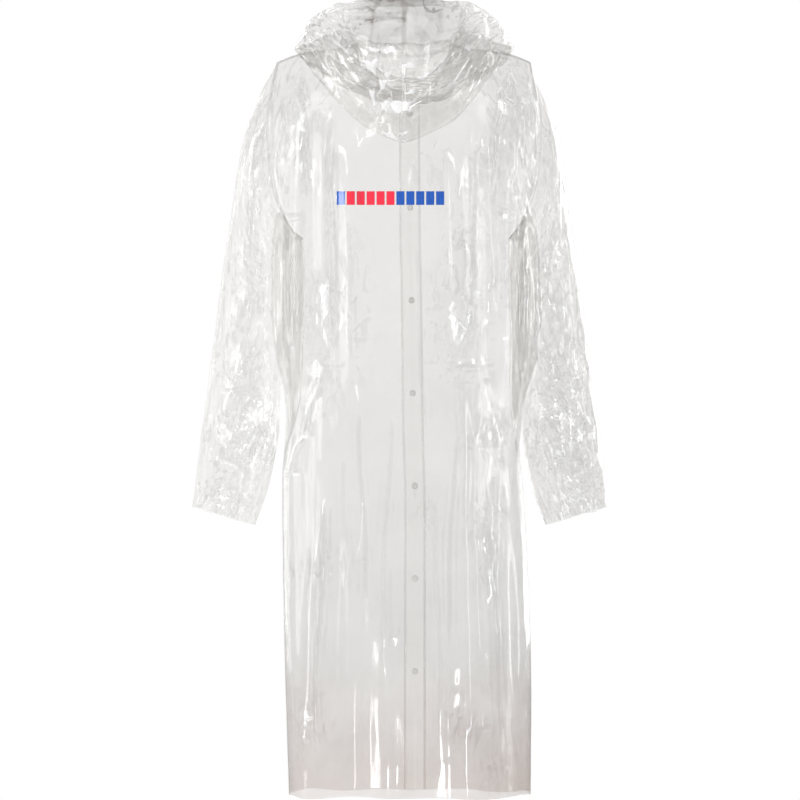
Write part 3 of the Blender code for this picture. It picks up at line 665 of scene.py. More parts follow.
def patchiness(points: Grid, patches: Sequence[Patch], least: float) -> Grid:
    """How strongly the film is crumpled at each point.

    Args:
        points: The sheet's points.
        patches: Its crumpled spots.
        least: What is left between them.

    Returns:
        Shares of the full crumpling.
    """
    total = np.full(points.shape[:2], least)
    for p in patches:
        off = ((points[..., 0] - p.x) / p.wide) ** 2 + ((points[..., 2] - p.z) / p.high) ** 2
        total += p.strength * np.exp(-1.3 * off)
    return np.minimum(total, 1.4)


# ---------------------------------------------------------------- sheets
@dataclass
class Sheet:
    """One piece of film as a grid of outer points, with what its film looks like at each."""

    name: str
    points: Grid
    across: Grid
    along: Grid
    weld: Grid
    tight: Grid
    crumple: Grid
    # Share of the dark veil: the film's milkiness, with painted side shade on the body and sleeves.
    haze: Grid
    closed: bool = False
    flip: bool = False

    def build(self) -> bpy.types.Object:
        """Makes the sheet's mesh, with its UV map in metres and its attributes.

        Returns:
            The sheet's object, as a closed thin wall.
        """
        rows, columns = self.points.shape[:2]
        bm = bmesh.new()
        bmesh.ops.create_grid(bm, x_segments=columns - 1, y_segments=rows - 1, size=0.5)
        mesh = bpy.data.meshes.new(self.name)
        bm.to_mesh(mesh)
        bm.free()
        flat = np.zeros(len(mesh.vertices) * 3)
        mesh.vertices.foreach_get("co", flat)
        flat = flat.reshape(-1, 3) + 0.5
        column = np.rint(flat[:, 0] * (columns - 1)).astype(int)
        row = np.rint(flat[:, 1] * (rows - 1)).astype(int)
        mesh.vertices.foreach_set("co", self.points[row, column].astype(np.float32).ravel())
        corner = np.zeros(len(mesh.loops), dtype=np.int32)
        mesh.loops.foreach_get("vertex_index", corner)
        uv = np.stack([self.across[row, column], self.along[row, column]], axis=1)[corner]
        mesh.uv_layers.new(name="cut")
        mesh.uv_layers["cut"].data.foreach_set("uv", uv.astype(np.float32).ravel())
        looks = {"weld": self.weld, "tight": self.tight, "crumple": self.crumple, "haze": self.haze}
        for name, values in looks.items():
            layer = mesh.attributes.new(name, "FLOAT", "POINT")
            layer.data.foreach_set("value", values[row, column].astype(np.float32))
        if self.closed or self.flip:
            bm = bmesh.new()
            bm.from_mesh(mesh)
            if self.closed:
                bmesh.ops.remove_doubles(bm, verts=bm.verts[:], dist=1e-6)
            if self.flip:
                bmesh.ops.reverse_faces(bm, faces=bm.faces[:])
            bm.to_mesh(mesh)
            bm.free()
        mesh.shade_smooth()
        obj = bpy.data.objects.new(self.name, mesh)
        bpy.context.scene.collection.objects.link(obj)
        wall = obj.modifiers.new("wall", "SOLIDIFY")
        wall.thickness, wall.offset, wall.use_rim = FILM, -1.0, True
        return obj


def search_tree(sheets: Sequence[Sheet]) -> BVHTree:
    """Search tree over the outer faces of some sheets, thinned to every second point.

    Args:
        sheets: The sheets.

    Returns:
        The tree, with faces that point out.
    """
    points: list[Grid] = []
    faces: list[Grid] = []
    start = 0
    for sheet in sheets:
        counts = sheet.points.shape[:2]
        rows, columns = (np.unique(np.append(np.arange(0, n, 2), n - 1)) for n in counts)
        grid = sheet.points[np.ix_(rows, columns)]
        wide = len(columns)
        r, c = np.mgrid[0 : len(rows) - 1, 0 : wide - 1]
        first = start + r * wide + c
        quads = np.stack([first, first + 1, first + wide + 1, first + wide], axis=-1).reshape(-1, 4)
        faces.append(quads[:, ::-1] if sheet.flip else quads)
        points.append(grid.reshape(-1, 3))
        start += len(points[-1])
    return BVHTree.FromPolygons(np.concatenate(points).tolist(), np.concatenate(faces).tolist())


def lengths(points: Grid, axis: int) -> Grid:
    """Distance run along the rows (axis 1) or columns (axis 0) of a grid from its first point.

    Args:
        points: The grid.
        axis: 1 to run along its rows, 0 along its columns.

    Returns:
        The distance run to each point.
    """
    steps = np.linalg.norm(np.diff(points, axis=axis), axis=-1)
    start = np.zeros_like(np.take(steps, [0], axis=axis))
    return np.concatenate([start, np.cumsum(steps, axis=axis)], axis=axis)


def outward(points: Grid, closed: bool = False) -> Grid:
    """Unit direction out of a grid whose columns run so that across x up is out.

    Args:
        points: The grid.
        closed: Whether its last column repeats its first.

    Returns:
        One direction for each point.
    """
    if closed:
        ring = points[:, :-1]
        du = np.roll(ring, -1, axis=1) - np.roll(ring, 1, axis=1)
        du = np.concatenate([du, du[:, :1]], axis=1)
    else:
        du = np.gradient(points, axis=1)
    return unit(np.cross(du, np.gradient(points, axis=0)))


def tightness(height: Grid, across: Grid, along: Grid) -> Grid:
    """How sharply the film turns at each point, as a change of slope.

    Args:
        height: How far the film stands out.
        across: Distance across.
        along: Distance along.

    Returns:
        The change of slope, from 0 to 1.
    """
    du = np.abs(np.gradient(across, axis=1)).clip(1e-3)
    dv = np.abs(np.gradient(along, axis=0)).clip(1e-3)
    bend = np.zeros(height.shape)
    bend[:, 1:-1] += np.abs(height[:, 2:] + height[:, :-2] - 2 * height[:, 1:-1]) / du[:, 1:-1]
    bend[1:-1] += np.abs(height[2:] + height[:-2] - 2 * height[1:-1]) / dv[1:-1]
    return np.clip(bend, 0, 1)


def kept_off(points: Grid, tree: BVHTree, clearance: Grid) -> Grid:
    """Moves points out where they come too close to the outer face of the body.

    Args:
        points: The points.
        tree: Search tree over the body.
        clearance: Least height over the body for each point, or 0 to leave it alone.

    Returns:
        The points, moved where needed.
    """
    kept = points.copy().reshape(-1, 3)
    for i, (p, least) in enumerate(zip(kept.tolist(), clearance.ravel().tolist())):
        if not least:
            continue
        place = Vector(p)
        near, normal, _, distance = tree.find_nearest(place, 0.05)
        if near is None:
            continue
        height = (place - near).dot(normal)
        if height < least and abs(height) >= 0.7 * distance:
            kept[i] = near + normal * least
    return kept.reshape(points.shape)


# ---------------------------------------------------------------- body
@dataclass
class Body:
    """Back and two fronts of the coat, worked out as one wall that runs round the body."""

    streaks: Crumple = Crumple(0.044, 0.300, 0.0022, 1)
    crumples: tuple[Crumple, ...] = (
        Crumple(0.032, 0.062, 0.0034, 2),
        Crumple(0.022, 0.032, 0.0012, 3),
    )
    lower_calm: float = 0.40  # share of the streaks that is left below the hips
    least: float = 0.12  # crumpling that is left between the crumpled spots
    lap_haze: float = 0.35  # how milky the lapped strips are
    # Veil by height, from the hem up: darker towards the hem.
    veil_by_height: tuple[tuple[float, ...], tuple[float, ...]] = (
        (-1.20, -1.00, -0.70, -0.45),
        (1.85, 1.22, 0.76, 0.54),
    )
    wave_height: float = 0.0035  # how far the hem waves up and down

    def section(self, z: float) -> Section:
        """Body section at a height.

        Args:
            z: The height.

        Returns:
            The section, between the rows of the table.
        """
        heights = SECTIONS[:, 0]
        place = np.interp(z, heights, np.arange(len(heights)))
        return Section(*smooth(SECTIONS, np.array([place]))[0])

    def half_ring(self, section: Section, side: int, back: bool, end: float) -> Grid:
        """Fine points of a quarter of a section, from its centre line to an angle at its side.

        Args:
            section: The section.
            side: Sign of X of this half.
            back: Whether it is the back.
            end: Where it ends, in degrees forward of the side.

        Returns:
            Its points, from the centre out.
        """
        degrees = np.linspace(-90.0 if back else 90.0, end, FINE + 1)
        degrees = degrees if side > 0 else 180.0 - degrees
        turn = np.radians(degrees)
        across, along = np.cos(turn), np.sin(turn)
        depth = np.where(along < 0, section.back, section.front)
        bulk = np.abs(across / section.half) ** section.square
        radius = (bulk + np.abs(along / depth) ** section.square) ** (-1 / section.square)
        off = np.where(degrees <= 90, degrees, 180 - degrees)
        off = np.where(off >= -90, off, -180 - off)
        radius = radius - section.dent * np.exp(-(((off - ARM_ANGLE) / ARM_DENT_WIDTH) ** 4))
        z = np.full(across.shape, section.z)
        return np.stack([section.middle + radius * across, radius * along, z], axis=1)

    def quarter_row(self, z: float, side: int, back: bool, end: float = ARM_ANGLE) -> Grid:
        """Points of a section from the centre or closing line to an angle at the side.

        Args:
            z: The height.
            side: Sign of X of this half.
            back: Whether it is the back.
            end: Where it ends, in degrees forward of the side.

        Returns:
            The points, evenly spaced.
        """
        section = self.section(z)
        line = self.half_ring(section, side, back, end)
        if not back:
            if side * section.closing < 0:  # this front reaches past the middle of the coat
                past = self.half_ring(section, -side, back, end)[FINE // 4 : 0 : -1]
                line = np.concatenate([past, line])
            first = int(np.argmax(side * (line[:, 0] - section.closing) > 0))
            before, after = line[max(first - 1, 0)], line[first]
            share = (section.closing - before[0]) / (after[0] - before[0]) if first else 0.0
            line = np.concatenate([[before + (after - before) * share], line[first:]])
        return even(line, np.linspace(0, 1, NECK_STEPS + SHOULDER_STEPS + 1))

    def top_line(self, side: int, back: bool) -> Grid:
        """Upper edge of a quarter: neckline from the centre out, then the shoulder seam.

        Args:
            side: Sign of X of this half.
            back: Whether it is the back.

        Returns:
            Its points, from the centre out.
        """
        degrees = np.linspace(0, 90, NECK_STEPS + 1)
        neck = neck_loop(NECKLINE, degrees if back else 180.0 - degrees, side)
        t = np.linspace(0, 1, SHOULDER_STEPS + 1)[1:, None]
        shoulder = neck[-1] + (np.array(SHOULDER_POINT) * (side, 1, 1) - neck[-1]) * t
        shoulder[:, 2] += 0.003 * np.sin(math.pi * t[:, 0]) * (1 - 2 * np.cos(math.pi * t[:, 0]))
        return np.concatenate([neck, shoulder])

    def yoke(self, side: int, back: bool, base: Grid) -> list[Grid]:
        """Rows of a quarter from the underarm up, stretched between its four edges.

        Args:
            side: Sign of X of this half.
            back: Whether it is the back.
            base: The quarter's row at the underarm.

        Returns:
            The rows above it.
        """
        top = self.top_line(side, back)
        shares = np.linspace(0, 1, YOKE_STEPS + 1)
        edge = np.array(BACK_ARMHOLE if back else FRONT_ARMHOLE) * (side, 1, 1)
        edge = np.concatenate([[base[-1]], edge, [np.array(SHOULDER_POINT) * (side, 1, 1)]])
        outer = even(smooth(edge, np.linspace(0, len(edge) - 1, FINE)), shares)
        low, high = base[0], top[0]
        middle = [
            (low[0] + (high[0] - low[0]) * (z - low[2]) / (high[2] - low[2]), y, z)
            for y, z in (CENTRE_BACK if back else CENTRE_FRONT)
        ]
        inner = np.array([low, *middle, high])
        inner = even(smooth(inner, np.linspace(0, len(inner) - 1, FINE)), shares)
        centre = self.section(UNDERARM_Z).middle
        share = np.linspace(0, 1, len(top))[:, None]
        furthest, rows = ARM_ANGLE, []
        for r in range(1, YOKE_STEPS + 1):
            t = r / YOKE_STEPS
            angle = math.degrees(math.atan2(outer[r][1], side * (outer[r][0] - centre)))
            furthest = min(furthest, angle) if back else max(furthest, angle)
            row = self.quarter_row(UNDERARM_Z, side, back, furthest)
            up = np.array([t, 1 - math.sqrt(1 - t**2.4), t])  # depth turns over the shoulder late
            inner_pull = inner[r] - (1 - up) * row[0] - up * top[0]
            outer_pull = outer[r] - (1 - up) * row[-1] - up * top[-1]
            mixed = (1 - up) * row + up * top
            rows.append(mixed + (1 - share) * inner_pull + share**ARMHOLE_PULL * outer_pull)
        return rows

    def folded(self, rows: Grid, side: int, back: bool) -> Grid:
        """The quarter with its long soft folds.

        Args:
            rows: The plain quarter.
            side: Sign of X of this half.
            back: Whether it is the back.

        Returns:
            Its points, moved.
        """
        ahead = np.gradient(rows, axis=1)
        out = np.stack([ahead[..., 1], -ahead[..., 0], np.zeros(ahead.shape[:2])], axis=-1)
        out = unit(out) * (side if back else -side)
        depth = np.zeros(rows.shape[:2])
        for fold in FOLDS[Wall.BACK if back else Wall.FRONT]:
            down = (fold.top - rows[..., 2]) / (fold.top - fold.bottom)
            fade = ease(down / 0.25) * (down < 1)
            if fold.bottom > SECTIONS[0][0]:
                fade = fade * ease((1 - down) / 0.25)
            off = rows[..., 0] - fold.across - fold.drift * down
            depth += fold.depth * fade * hump(off, fold.width)
        from_side = ease(np.linspace(1, 0, rows.shape[1]) / SIDE_FADE)
        return rows + out * (depth * from_side)[..., None]

    def quarter(self, side: int, back: bool) -> Grid:
        """Grid of a quarter of the body, from the hem to its top line.

        Args:
            side: Sign of X of this half.
            back: Whether it is the back.

        Returns:
            Its rows, from the hem up.
        """
        heights = np.linspace(SECTIONS[0][0], UNDERARM_Z, BODY_STEPS + 1)
        rows = [self.quarter_row(float(z), side, back) for z in heights]
        rows += self.yoke(side, back, rows[-1])
        return self.folded(np.array(rows), side, back)

    def heights(self, grid: Grid, across: Grid, along: Grid, normal: Grid) -> tuple[Grid, Grid]:
        """How far crumpling and creases stand out on one part of the wall.

        Args:
            grid: Its points, across from -X behind and from +X before.
            across: Distance round the body from the centre back.
            along: Distance up from the hem.
            normal: Outward directions.

        Returns:
            Heights in metres, and how strongly the film is crumpled.
        """
        calm = self.lower_calm + (1 - self.lower_calm) * ease((grid[..., 2] + 0.75) / 0.4)
        behind, before = (ease((0.25 + w.value * normal[..., 1]) / 0.5) for w in Wall)
        crumple = behind * patchiness(grid, BACK_PATCHES, self.least)
        crumple += before * patchiness(grid, FRONT_PATCHES, self.least)
        crumple /= np.maximum(behind + before, 1.0)
        height = softened(self.streaks.heights(across, along), 4) * calm
        facets = sum(c.heights(across, along) for c in self.crumples)
        height = height + softened(facets, 1) * crumple
        height = height + crease_heights(grid, BACK_CREASES, behind)
        height = height + crease_heights(grid, FRONT_CREASES, before)
        return height * ease((along[-1, 0] - along) / PIN), crumple

    def haze_and_side_shade(self, grid: Grid) -> Grid:
        """How much of the dark veil the film has at each point: more towards the hem, and more
        towards the right as painted shade of the light that comes from the left.
        """
        return np.interp(grid[..., 2], *self.veil_by_height) * (1 + 0.9 * grid[..., 0])

    def held_side(self, across: Grid, edge: int) -> Grid:
        """0 along the armhole edge of a part of the wall, to 1 away from it.

        Args:
            across: Distance round the body.
            edge: The column of the armhole edge.

        Returns:
            The shares.
        """
        hold = ease(np.abs(across - across[:, [edge]]) / PIN)
        hold[: BODY_STEPS + 1] = 1.0
        return hold

    def lap(self, own: Grid, other: Grid, lift: float) -> Grid:
        """Carries a front on past the closing line, along the other front, raised off it.

        Args:
            own: This front's points, from the closing line to its side.
            other: The other front's points, likewise.
            lift: How far this front lies off the other.

        Returns:
            The front with its lap.
        """
        steps = max(round(LAP_HALF / LAP_STEP), 2)
        up = np.gradient(own[:, 0], axis=0)
        out = unit(np.stack([np.zeros(len(up)), up[:, 2], -up[:, 1]], axis=1)) * lift
        own = own.copy()
        fade = ease(1 - np.arange(own.shape[1]) / 12.0)
        own += out[:, None] * fade[None, :, None]
        reach = lengths(other, 1)
        strips = []
        for r in range(len(own)):
            wanted = np.arange(steps, 0, -1) * LAP_HALF / steps
            axes = [np.interp(wanted, reach[r], other[r][:, k]) for k in range(3)]
            strips.append(np.stack(axes, axis=1))
        strip = np.array(strips) + out[:, None]
        strip[-1] += unit(strip[-2] - strip[-1]) * LAP_LIFT  # clear of the hood at the neckline
        return np.concatenate([strip, own], axis=1)

    def sheets(self) -> list[Sheet]:
        """Works out the back and both fronts.

        Returns:
            The back, the left front and the right front.
        """
        left, right = Half.LEFT.value, Half.RIGHT.value
        n, low = NECK_STEPS + SHOULDER_STEPS, slice(0, BODY_STEPS + 1)
        halves = [self.quarter(left, True)[:, ::-1], self.quarter(right, True)[:, 1:]]
        behind = np.concatenate(halves, axis=1)
        parts = [self.quarter(left, False), behind, self.quarter(right, False)[:, ::-1]]
        runs = [lengths(p, 1) for p in parts]
        back_run = runs[1] - runs[1][:, [n]]
        left_run = back_run[:, [0]] - runs[0][:, [-1]] + runs[0]
        across = [left_run, back_run, back_run[:, [-1]] + runs[2]]
        up = lengths(behind, 0)[:, [n]]
        normals = [outward(p) for p in parts]
        for a, b in ((0, 1), (1, 2)):  # both sides of a side line lean the same way below the arm
            shared = unit(normals[a][low, -1] + normals[b][low, 0])
            normals[a][low, -1] = normals[b][low, 0] = shared
        moved, looks = [], []
        for k, (grid, u, normal) in enumerate(zip(parts, across, normals)):
            v = np.repeat(up, grid.shape[1], axis=1)
            height, crumple = self.heights(grid, u, v, normal)
            for edge in ((-1,), (0, -1), (0,))[k]:
                height = height * self.held_side(u, edge)
            grid = grid + normal * height[..., None]
            wave = self.wave_height * np.sin(u * 31.0 + 1.0) * np.sin(u * 12.0)
            grid[..., 2] += wave * ease(1 - v / 0.10)
            moved.append(grid)
            looks.append(np.stack([tightness(height, u, v), crumple, self.haze_and_side_shade(grid)]))
        weld = np.minimum(back_run - back_run[:, [0]], back_run[:, [-1]] - back_run)
        v = np.repeat(up, behind.shape[1], axis=1)
        weld = np.minimum(weld, up[-1] - v)
        pieces = [Sheet("film_back", moved[1], back_run, v, weld, *looks[1])]
        own = {left: (moved[0], looks[0]), right: (moved[2][:, ::-1], looks[2][..., ::-1])}
        fronts = ((left, "film_front_left", LAP_LIFT), (right, "film_front_right", 0.0))
        for side, name, lift in fronts:
            lapped = self.lap(own[side][0], own[-side][0], lift)
            extra = lapped.shape[1] - n - 1
            strip = own[-side][1][..., extra:0:-1] * np.array([1, 1, self.lap_haze])[:, None, None]
            look = np.concatenate([strip, own[side][1]], axis=2)
            look[2, :, extra : 2 * extra] = self.lap_haze
            u = lengths(lapped, 1) - LAP_HALF
            v = np.repeat(up, lapped.shape[1], axis=1)
            weld = np.minimum(np.minimum(u[:, [-1]] - u, up[-1] - v), u + LAP_HALF)
            pieces.append(Sheet(name, lapped, u, v, weld, *look, flip=side == right))
        return pieces


# ---------------------------------------------------------------- sleeves
@dataclass
class Sleeve:
    """One sleeve, from the armhole to the open cuff."""

    half: Half
    streaks: Crumple = Crumple(0.034, 0.150, 0.0022, 10)
    crumples: tuple[Crumple, ...] = (
        Crumple(0.034, 0.055, 0.0046, 11),
        Crumple(0.019, 0.026, 0.0020, 12),
    )
    least: float = 0.22  # crumpling that is left between the crumpled spots

    def station_ring(self, station: Grid, count: int, spread: float) -> tuple[Grid, Grid]:
        """Plain oval ring of a station on the right side, with the outward direction of each point.

        Args:
            station: The numbers of a Station.
            count: How many points it has.
            spread: How far it is moved across.

        Returns:
            The points, and the outward direction at each.
        """
        outer_x, outer_z, inner_x, inner_z, depth, middle_y = station
        outer = np.array([outer_x + spread, middle_y, outer_z])
        inner = np.array([inner_x + spread, middle_y, inner_z])
        centre, reach = (outer + inner) / 2, (outer - inner) / 2
        turn = 2 * math.pi * np.arange(count) / count
        back = np.stack([0 * turn, -np.sin(turn), 0 * turn], axis=1)
        out = unit(unit(reach) * np.cos(turn)[:, None] + back)
        return centre + reach * np.cos(turn)[:, None] + back * depth, out

    def wrinkles(self, degrees: Grid, share: float) -> Grid:
        """How far the soft creases stand out round a ring.

        Args:
            degrees: Angles round the ring.
            share: Share of the sleeve's length.

        Returns:
            Depths in metres.
        """
        depth = np.zeros(degrees.shape)
        for w in SLEEVE_WRINKLES:
            off = (degrees - w.angle + 180.0) % 360.0 - 180.0
            down = share - w.down - w.tilt * off / w.run
            depth += w.depth * hump(off, w.run) * hump(down, w.width)
        return depth

    def sheet(self, back: Sheet, front: Sheet, tree: BVHTree) -> Sheet:
        """Works out the sleeve from the edge of the armhole.

        Args:
            back: The coat's back.
            front: The front on the sleeve's side.
            tree: Search tree over the body.

        Returns:
            The sleeve's sheet.
        """
        side = self.half.value
        back_edge = back.points[BODY_STEPS:, 0 if side < 0 else -1]
        front_edge = front.points[BODY_STEPS:, -1]
        loop = np.concatenate([back_edge[::-1], front_edge[1:-1]])
        count = len(loop)
        degrees = 360.0 * np.arange(count) / count
        table = smooth(STATIONS, np.linspace(0, len(STATIONS) - 1, SLEEVE_STEPS + 1))
        first = self.station_ring(table[0], count, 0.0)[0] * (side, 1, 1)
        rings = [loop]
        for r in range(1, SLEEVE_STEPS + 1):
            share = r / SLEEVE_STEPS
            spread = SLEEVE_SPREAD[self.half] * float(ease(np.array(share / 0.3)))
            ring, out = self.station_ring(table[r], count, spread)
            ring = (ring + out * self.wrinkles(degrees, share)[:, None]) * (side, 1, 1)
            rings.append(ring + (loop - first) * (1 - float(ease(np.array(share / ARMHOLE_FADE)))))
        grid = np.array(rings)
        grid = np.concatenate([grid, grid[:, :1]], axis=1)
        normal = outward(grid, closed=True) * side
        round_length = float(lengths(grid, 1)[:, -1].mean())
        across = np.repeat(np.linspace(0, round_length, count + 1)[None], len(grid), axis=0)
        along = np.repeat(lengths(grid, 0).mean(axis=1)[:, None], count + 1, axis=1)
        crumple = patchiness(grid, SLEEVE_PATCHES[self.half], self.least)
        height = sum(c.heights(across, along, round_length) for c in self.crumples) * crumple
        streaks = self.streaks.heights(across, along, round_length)
        height = softened(height, 1) + softened(streaks, 3)
        for wall in Wall:
            facing = ease((0.2 + normal[..., 1] * wall.value) / 0.5)
            height = height + crease_heights(grid, SLEEVE_CREASES[self.half, wall], facing)
        height = height * ease(along / PIN)
        moved = grid + normal * height[..., None]
        clearance = CLEARANCE * ease(along / 0.02) * (moved[..., 2] < UNDERARM_Z + 0.004)
        moved = kept_off(moved, tree, clearance)
        moved[:, -1] = moved[:, 0]
        name = "film_sleeve_" + self.half.name.lower()
        haze = np.full(across.shape, SLEEVE_HAZE_AND_SHADE[self.half])
        looks = tightness(height, across, along), crumple, haze
        return Sheet(name, moved, across, along, along, *looks, closed=True, flip=side < 0)


# ---------------------------------------------------------------- hood
@dataclass
class Hood:
    """Hood that lies on the back, in two halves welded along its middle."""

    crumples: tuple[Crumple, ...] = (
        Crumple(0.048, 0.070, 0.0040, 21),
        Crumple(0.026, 0.034, 0.0016, 22),
    )
    least: float = 0.5  # crumpling that is left between the crumpled spots
    haze: float = 0.60  # how milky one layer is, with no painted shade on the hood
    top_haze: float = 2.4  # and how much more so at the top, which stands for gathered layers
    top_half: float = 0.17  # half the width of that top

    def sheets(self, tree: BVHTree) -> list[Sheet]:
        """Works out both halves of the hood.

        Args:
            tree: Search tree over the body's wall.

        Returns:
            The two sheets, the left one first.
        """
        degrees = np.linspace(0, 180, HOOD_COLUMNS + 1)
        table = smooth(HOOD_LOOPS, np.linspace(0, len(HOOD_LOOPS) - 1, HOOD_STEPS + 1))
        halves = []
        for half in Half:
            side, rows = half.value, []
            for r, loop in enumerate(table):
                row = neck_loop(loop, degrees, side)
                out = unit(row * (1, 1, 0))
                depth = np.zeros(degrees.shape)
                for p in HOOD_PUCKERS:
                    near = hump(side * degrees - p.round, p.round_width)
                    climb = np.array(r / HOOD_STEPS - p.climb)
                    depth += p.depth * near * hump(climb, p.climb_width)
                rows.append(row + out * depth[:, None])
            halves.append(np.array(rows))
        whole = np.concatenate([halves[0][:, ::-1], halves[1][:, 1:]], axis=1)
        across = lengths(whole, 1)
        across = across - across[:, [HOOD_COLUMNS]]
        along = np.repeat(lengths(whole, 0)[:, [HOOD_COLUMNS]], whole.shape[1], axis=1)
        normal = outward(whole)
        normal[:, HOOD_COLUMNS, 0] = 0.0
        crumple = patchiness(whole, HOOD_PATCHES, self.least)
        facets = sum(c.heights(across, along) for c in self.crumples)
        height = softened(facets, 1) * (0.4 + 0.6 * crumple)
        behind = ease((0.3 - normal[..., 1]) / 0.5) * (along > 0.08)
        height = height + crease_heights(whole, HOOD_CREASES, behind)
        height = height * ease(along / PIN)
        top = ease((whole[..., 2] - 0.002) / 0.02) * hump(whole[..., 0], self.top_half)
        top = top * ease((-0.08 - whole[..., 1]) / 0.05)
        haze = self.haze + self.top_haze * top
        looks = np.stack([tightness(height, across, along), crumple, haze])
        moved = whole + normal * height[..., None]
        moved = kept_off(moved, tree, CLEARANCE * ease((along - 0.003) / 0.02))
        moved[:, HOOD_COLUMNS, 0] = 0.0
        sheets = []
        columns = {Half.LEFT: slice(0, HOOD_COLUMNS + 1), Half.RIGHT: slice(HOOD_COLUMNS, None)}
        for half, part in columns.items():
            grid, u, v = moved[:, part], across[:, part], along[:, part]
            weld = np.minimum(np.abs(u), v)
            weld = np.minimum(weld, v[-1, 0] - v)
            name = "film_hood_" + half.name.lower()
            sheets.append(Sheet(name, grid, u, v, weld, *looks[..., part]))
        return sheets


# ---------------------------------------------------------------- shader helpers
class Graph:
    """A material's nodes, added by one method."""

    def __init__(self, name: str) -> None:
        """Starts an empty material.

        Args:
            name: The material's name.
        """
        self.material = bpy.data.materials.new(name)
        self.material.use_nodes = True
        self.tree = self.material.node_tree
        self.tree.nodes.clear()

    def node(
        self, kind: str, settings: dict[str, Any] | None = None, **values: Any
    ) -> bpy.types.Node:
        """Adds a node.

        Args:
            kind: Node type without its ShaderNode prefix.
            settings: The node's own settings, set first.
            values: Sockets by name, spaces as underscores, or by number as n0, n1; values or links.

        Returns:
            The node.
        """
        made = self.tree.nodes.new("ShaderNode" + kind)
        for key, value in (settings or {}).items():
            setattr(made, key, value)
        for key, value in values.items():
            place = int(key[1:]) if key[0] == "n" and key[1:].isdigit() else key.replace("_", " ")
            socket = made.inputs[place]
            if isinstance(value, Wire):
                value = value.socket
            if isinstance(value, bpy.types.NodeSocket):
                self.tree.links.new(value, socket)
            else:
                socket.default_value = value
        return made

    def wire(self, socket: bpy.types.NodeSocket) -> Wire:
        """Wraps a number's socket for sums."""
        return Wire(self, socket)


class Wire:
    """A number in a shader, on which sums are written as Python expressions."""

    def __init__(self, graph: Graph, socket: bpy.types.NodeSocket) -> None:
        """Wraps a socket.

        Args:
            graph: Where new nodes go.
            socket: The number's output socket.
        """
        self.graph, self.socket = graph, socket

    def maths(self, operation: str, *values: Any) -> Wire:
        """Adds a Math node.

        Args:
            operation: The node's operation.
            values: Its inputs in order.

        Returns:
            Its result.
        """
        inputs = {f"n{i}": v for i, v in enumerate(values)}
        made = self.graph.node("Math", {"operation": operation}, **inputs)
        return Wire(self.graph, made.outputs[0])

    def __add__(self, other: Any) -> Wire:
        """Sum."""
        return self.maths("ADD", self, other)

    __radd__ = __add__

    def __sub__(self, other: Any) -> Wire:
        """Difference."""
        return self.maths("SUBTRACT", self, other)

    def __rsub__(self, other: Any) -> Wire:
        """Difference from a number."""
        return self.maths("SUBTRACT", other, self)

    def __mul__(self, other: Any) -> Wire:
        """Product."""
        return self.maths("MULTIPLY", self, other)

    __rmul__ = __mul__

    def __truediv__(self, other: Any) -> Wire:
        """Quotient."""
        return self.maths("DIVIDE", self, other)

    def __pow__(self, power: float) -> Wire:
        """Power."""
        return self.maths("POWER", self, power)

    def least(self, other: Any) -> Wire:
        """The smaller of two."""
        return self.maths("MINIMUM", self, other)

    def most(self, other: Any) -> Wire:
        """The larger of two."""
        return self.maths("MAXIMUM", self, other)

    def below(self, limit: float, soft: float) -> Wire:
        """1 well below a limit and 0 above it, with a soft step."""
        return ((limit - self) / soft + 0.5).most(0.0).least(1.0)


# ---------------------------------------------------------------- finishes
WARM = (0.27, 0.16, 0.12)  # warmer tint the film is given towards the hem
RED = (0.78, 0.012, 0.045)  # inks of the printed row
BLUE = (0.0, 0.075, 0.40)


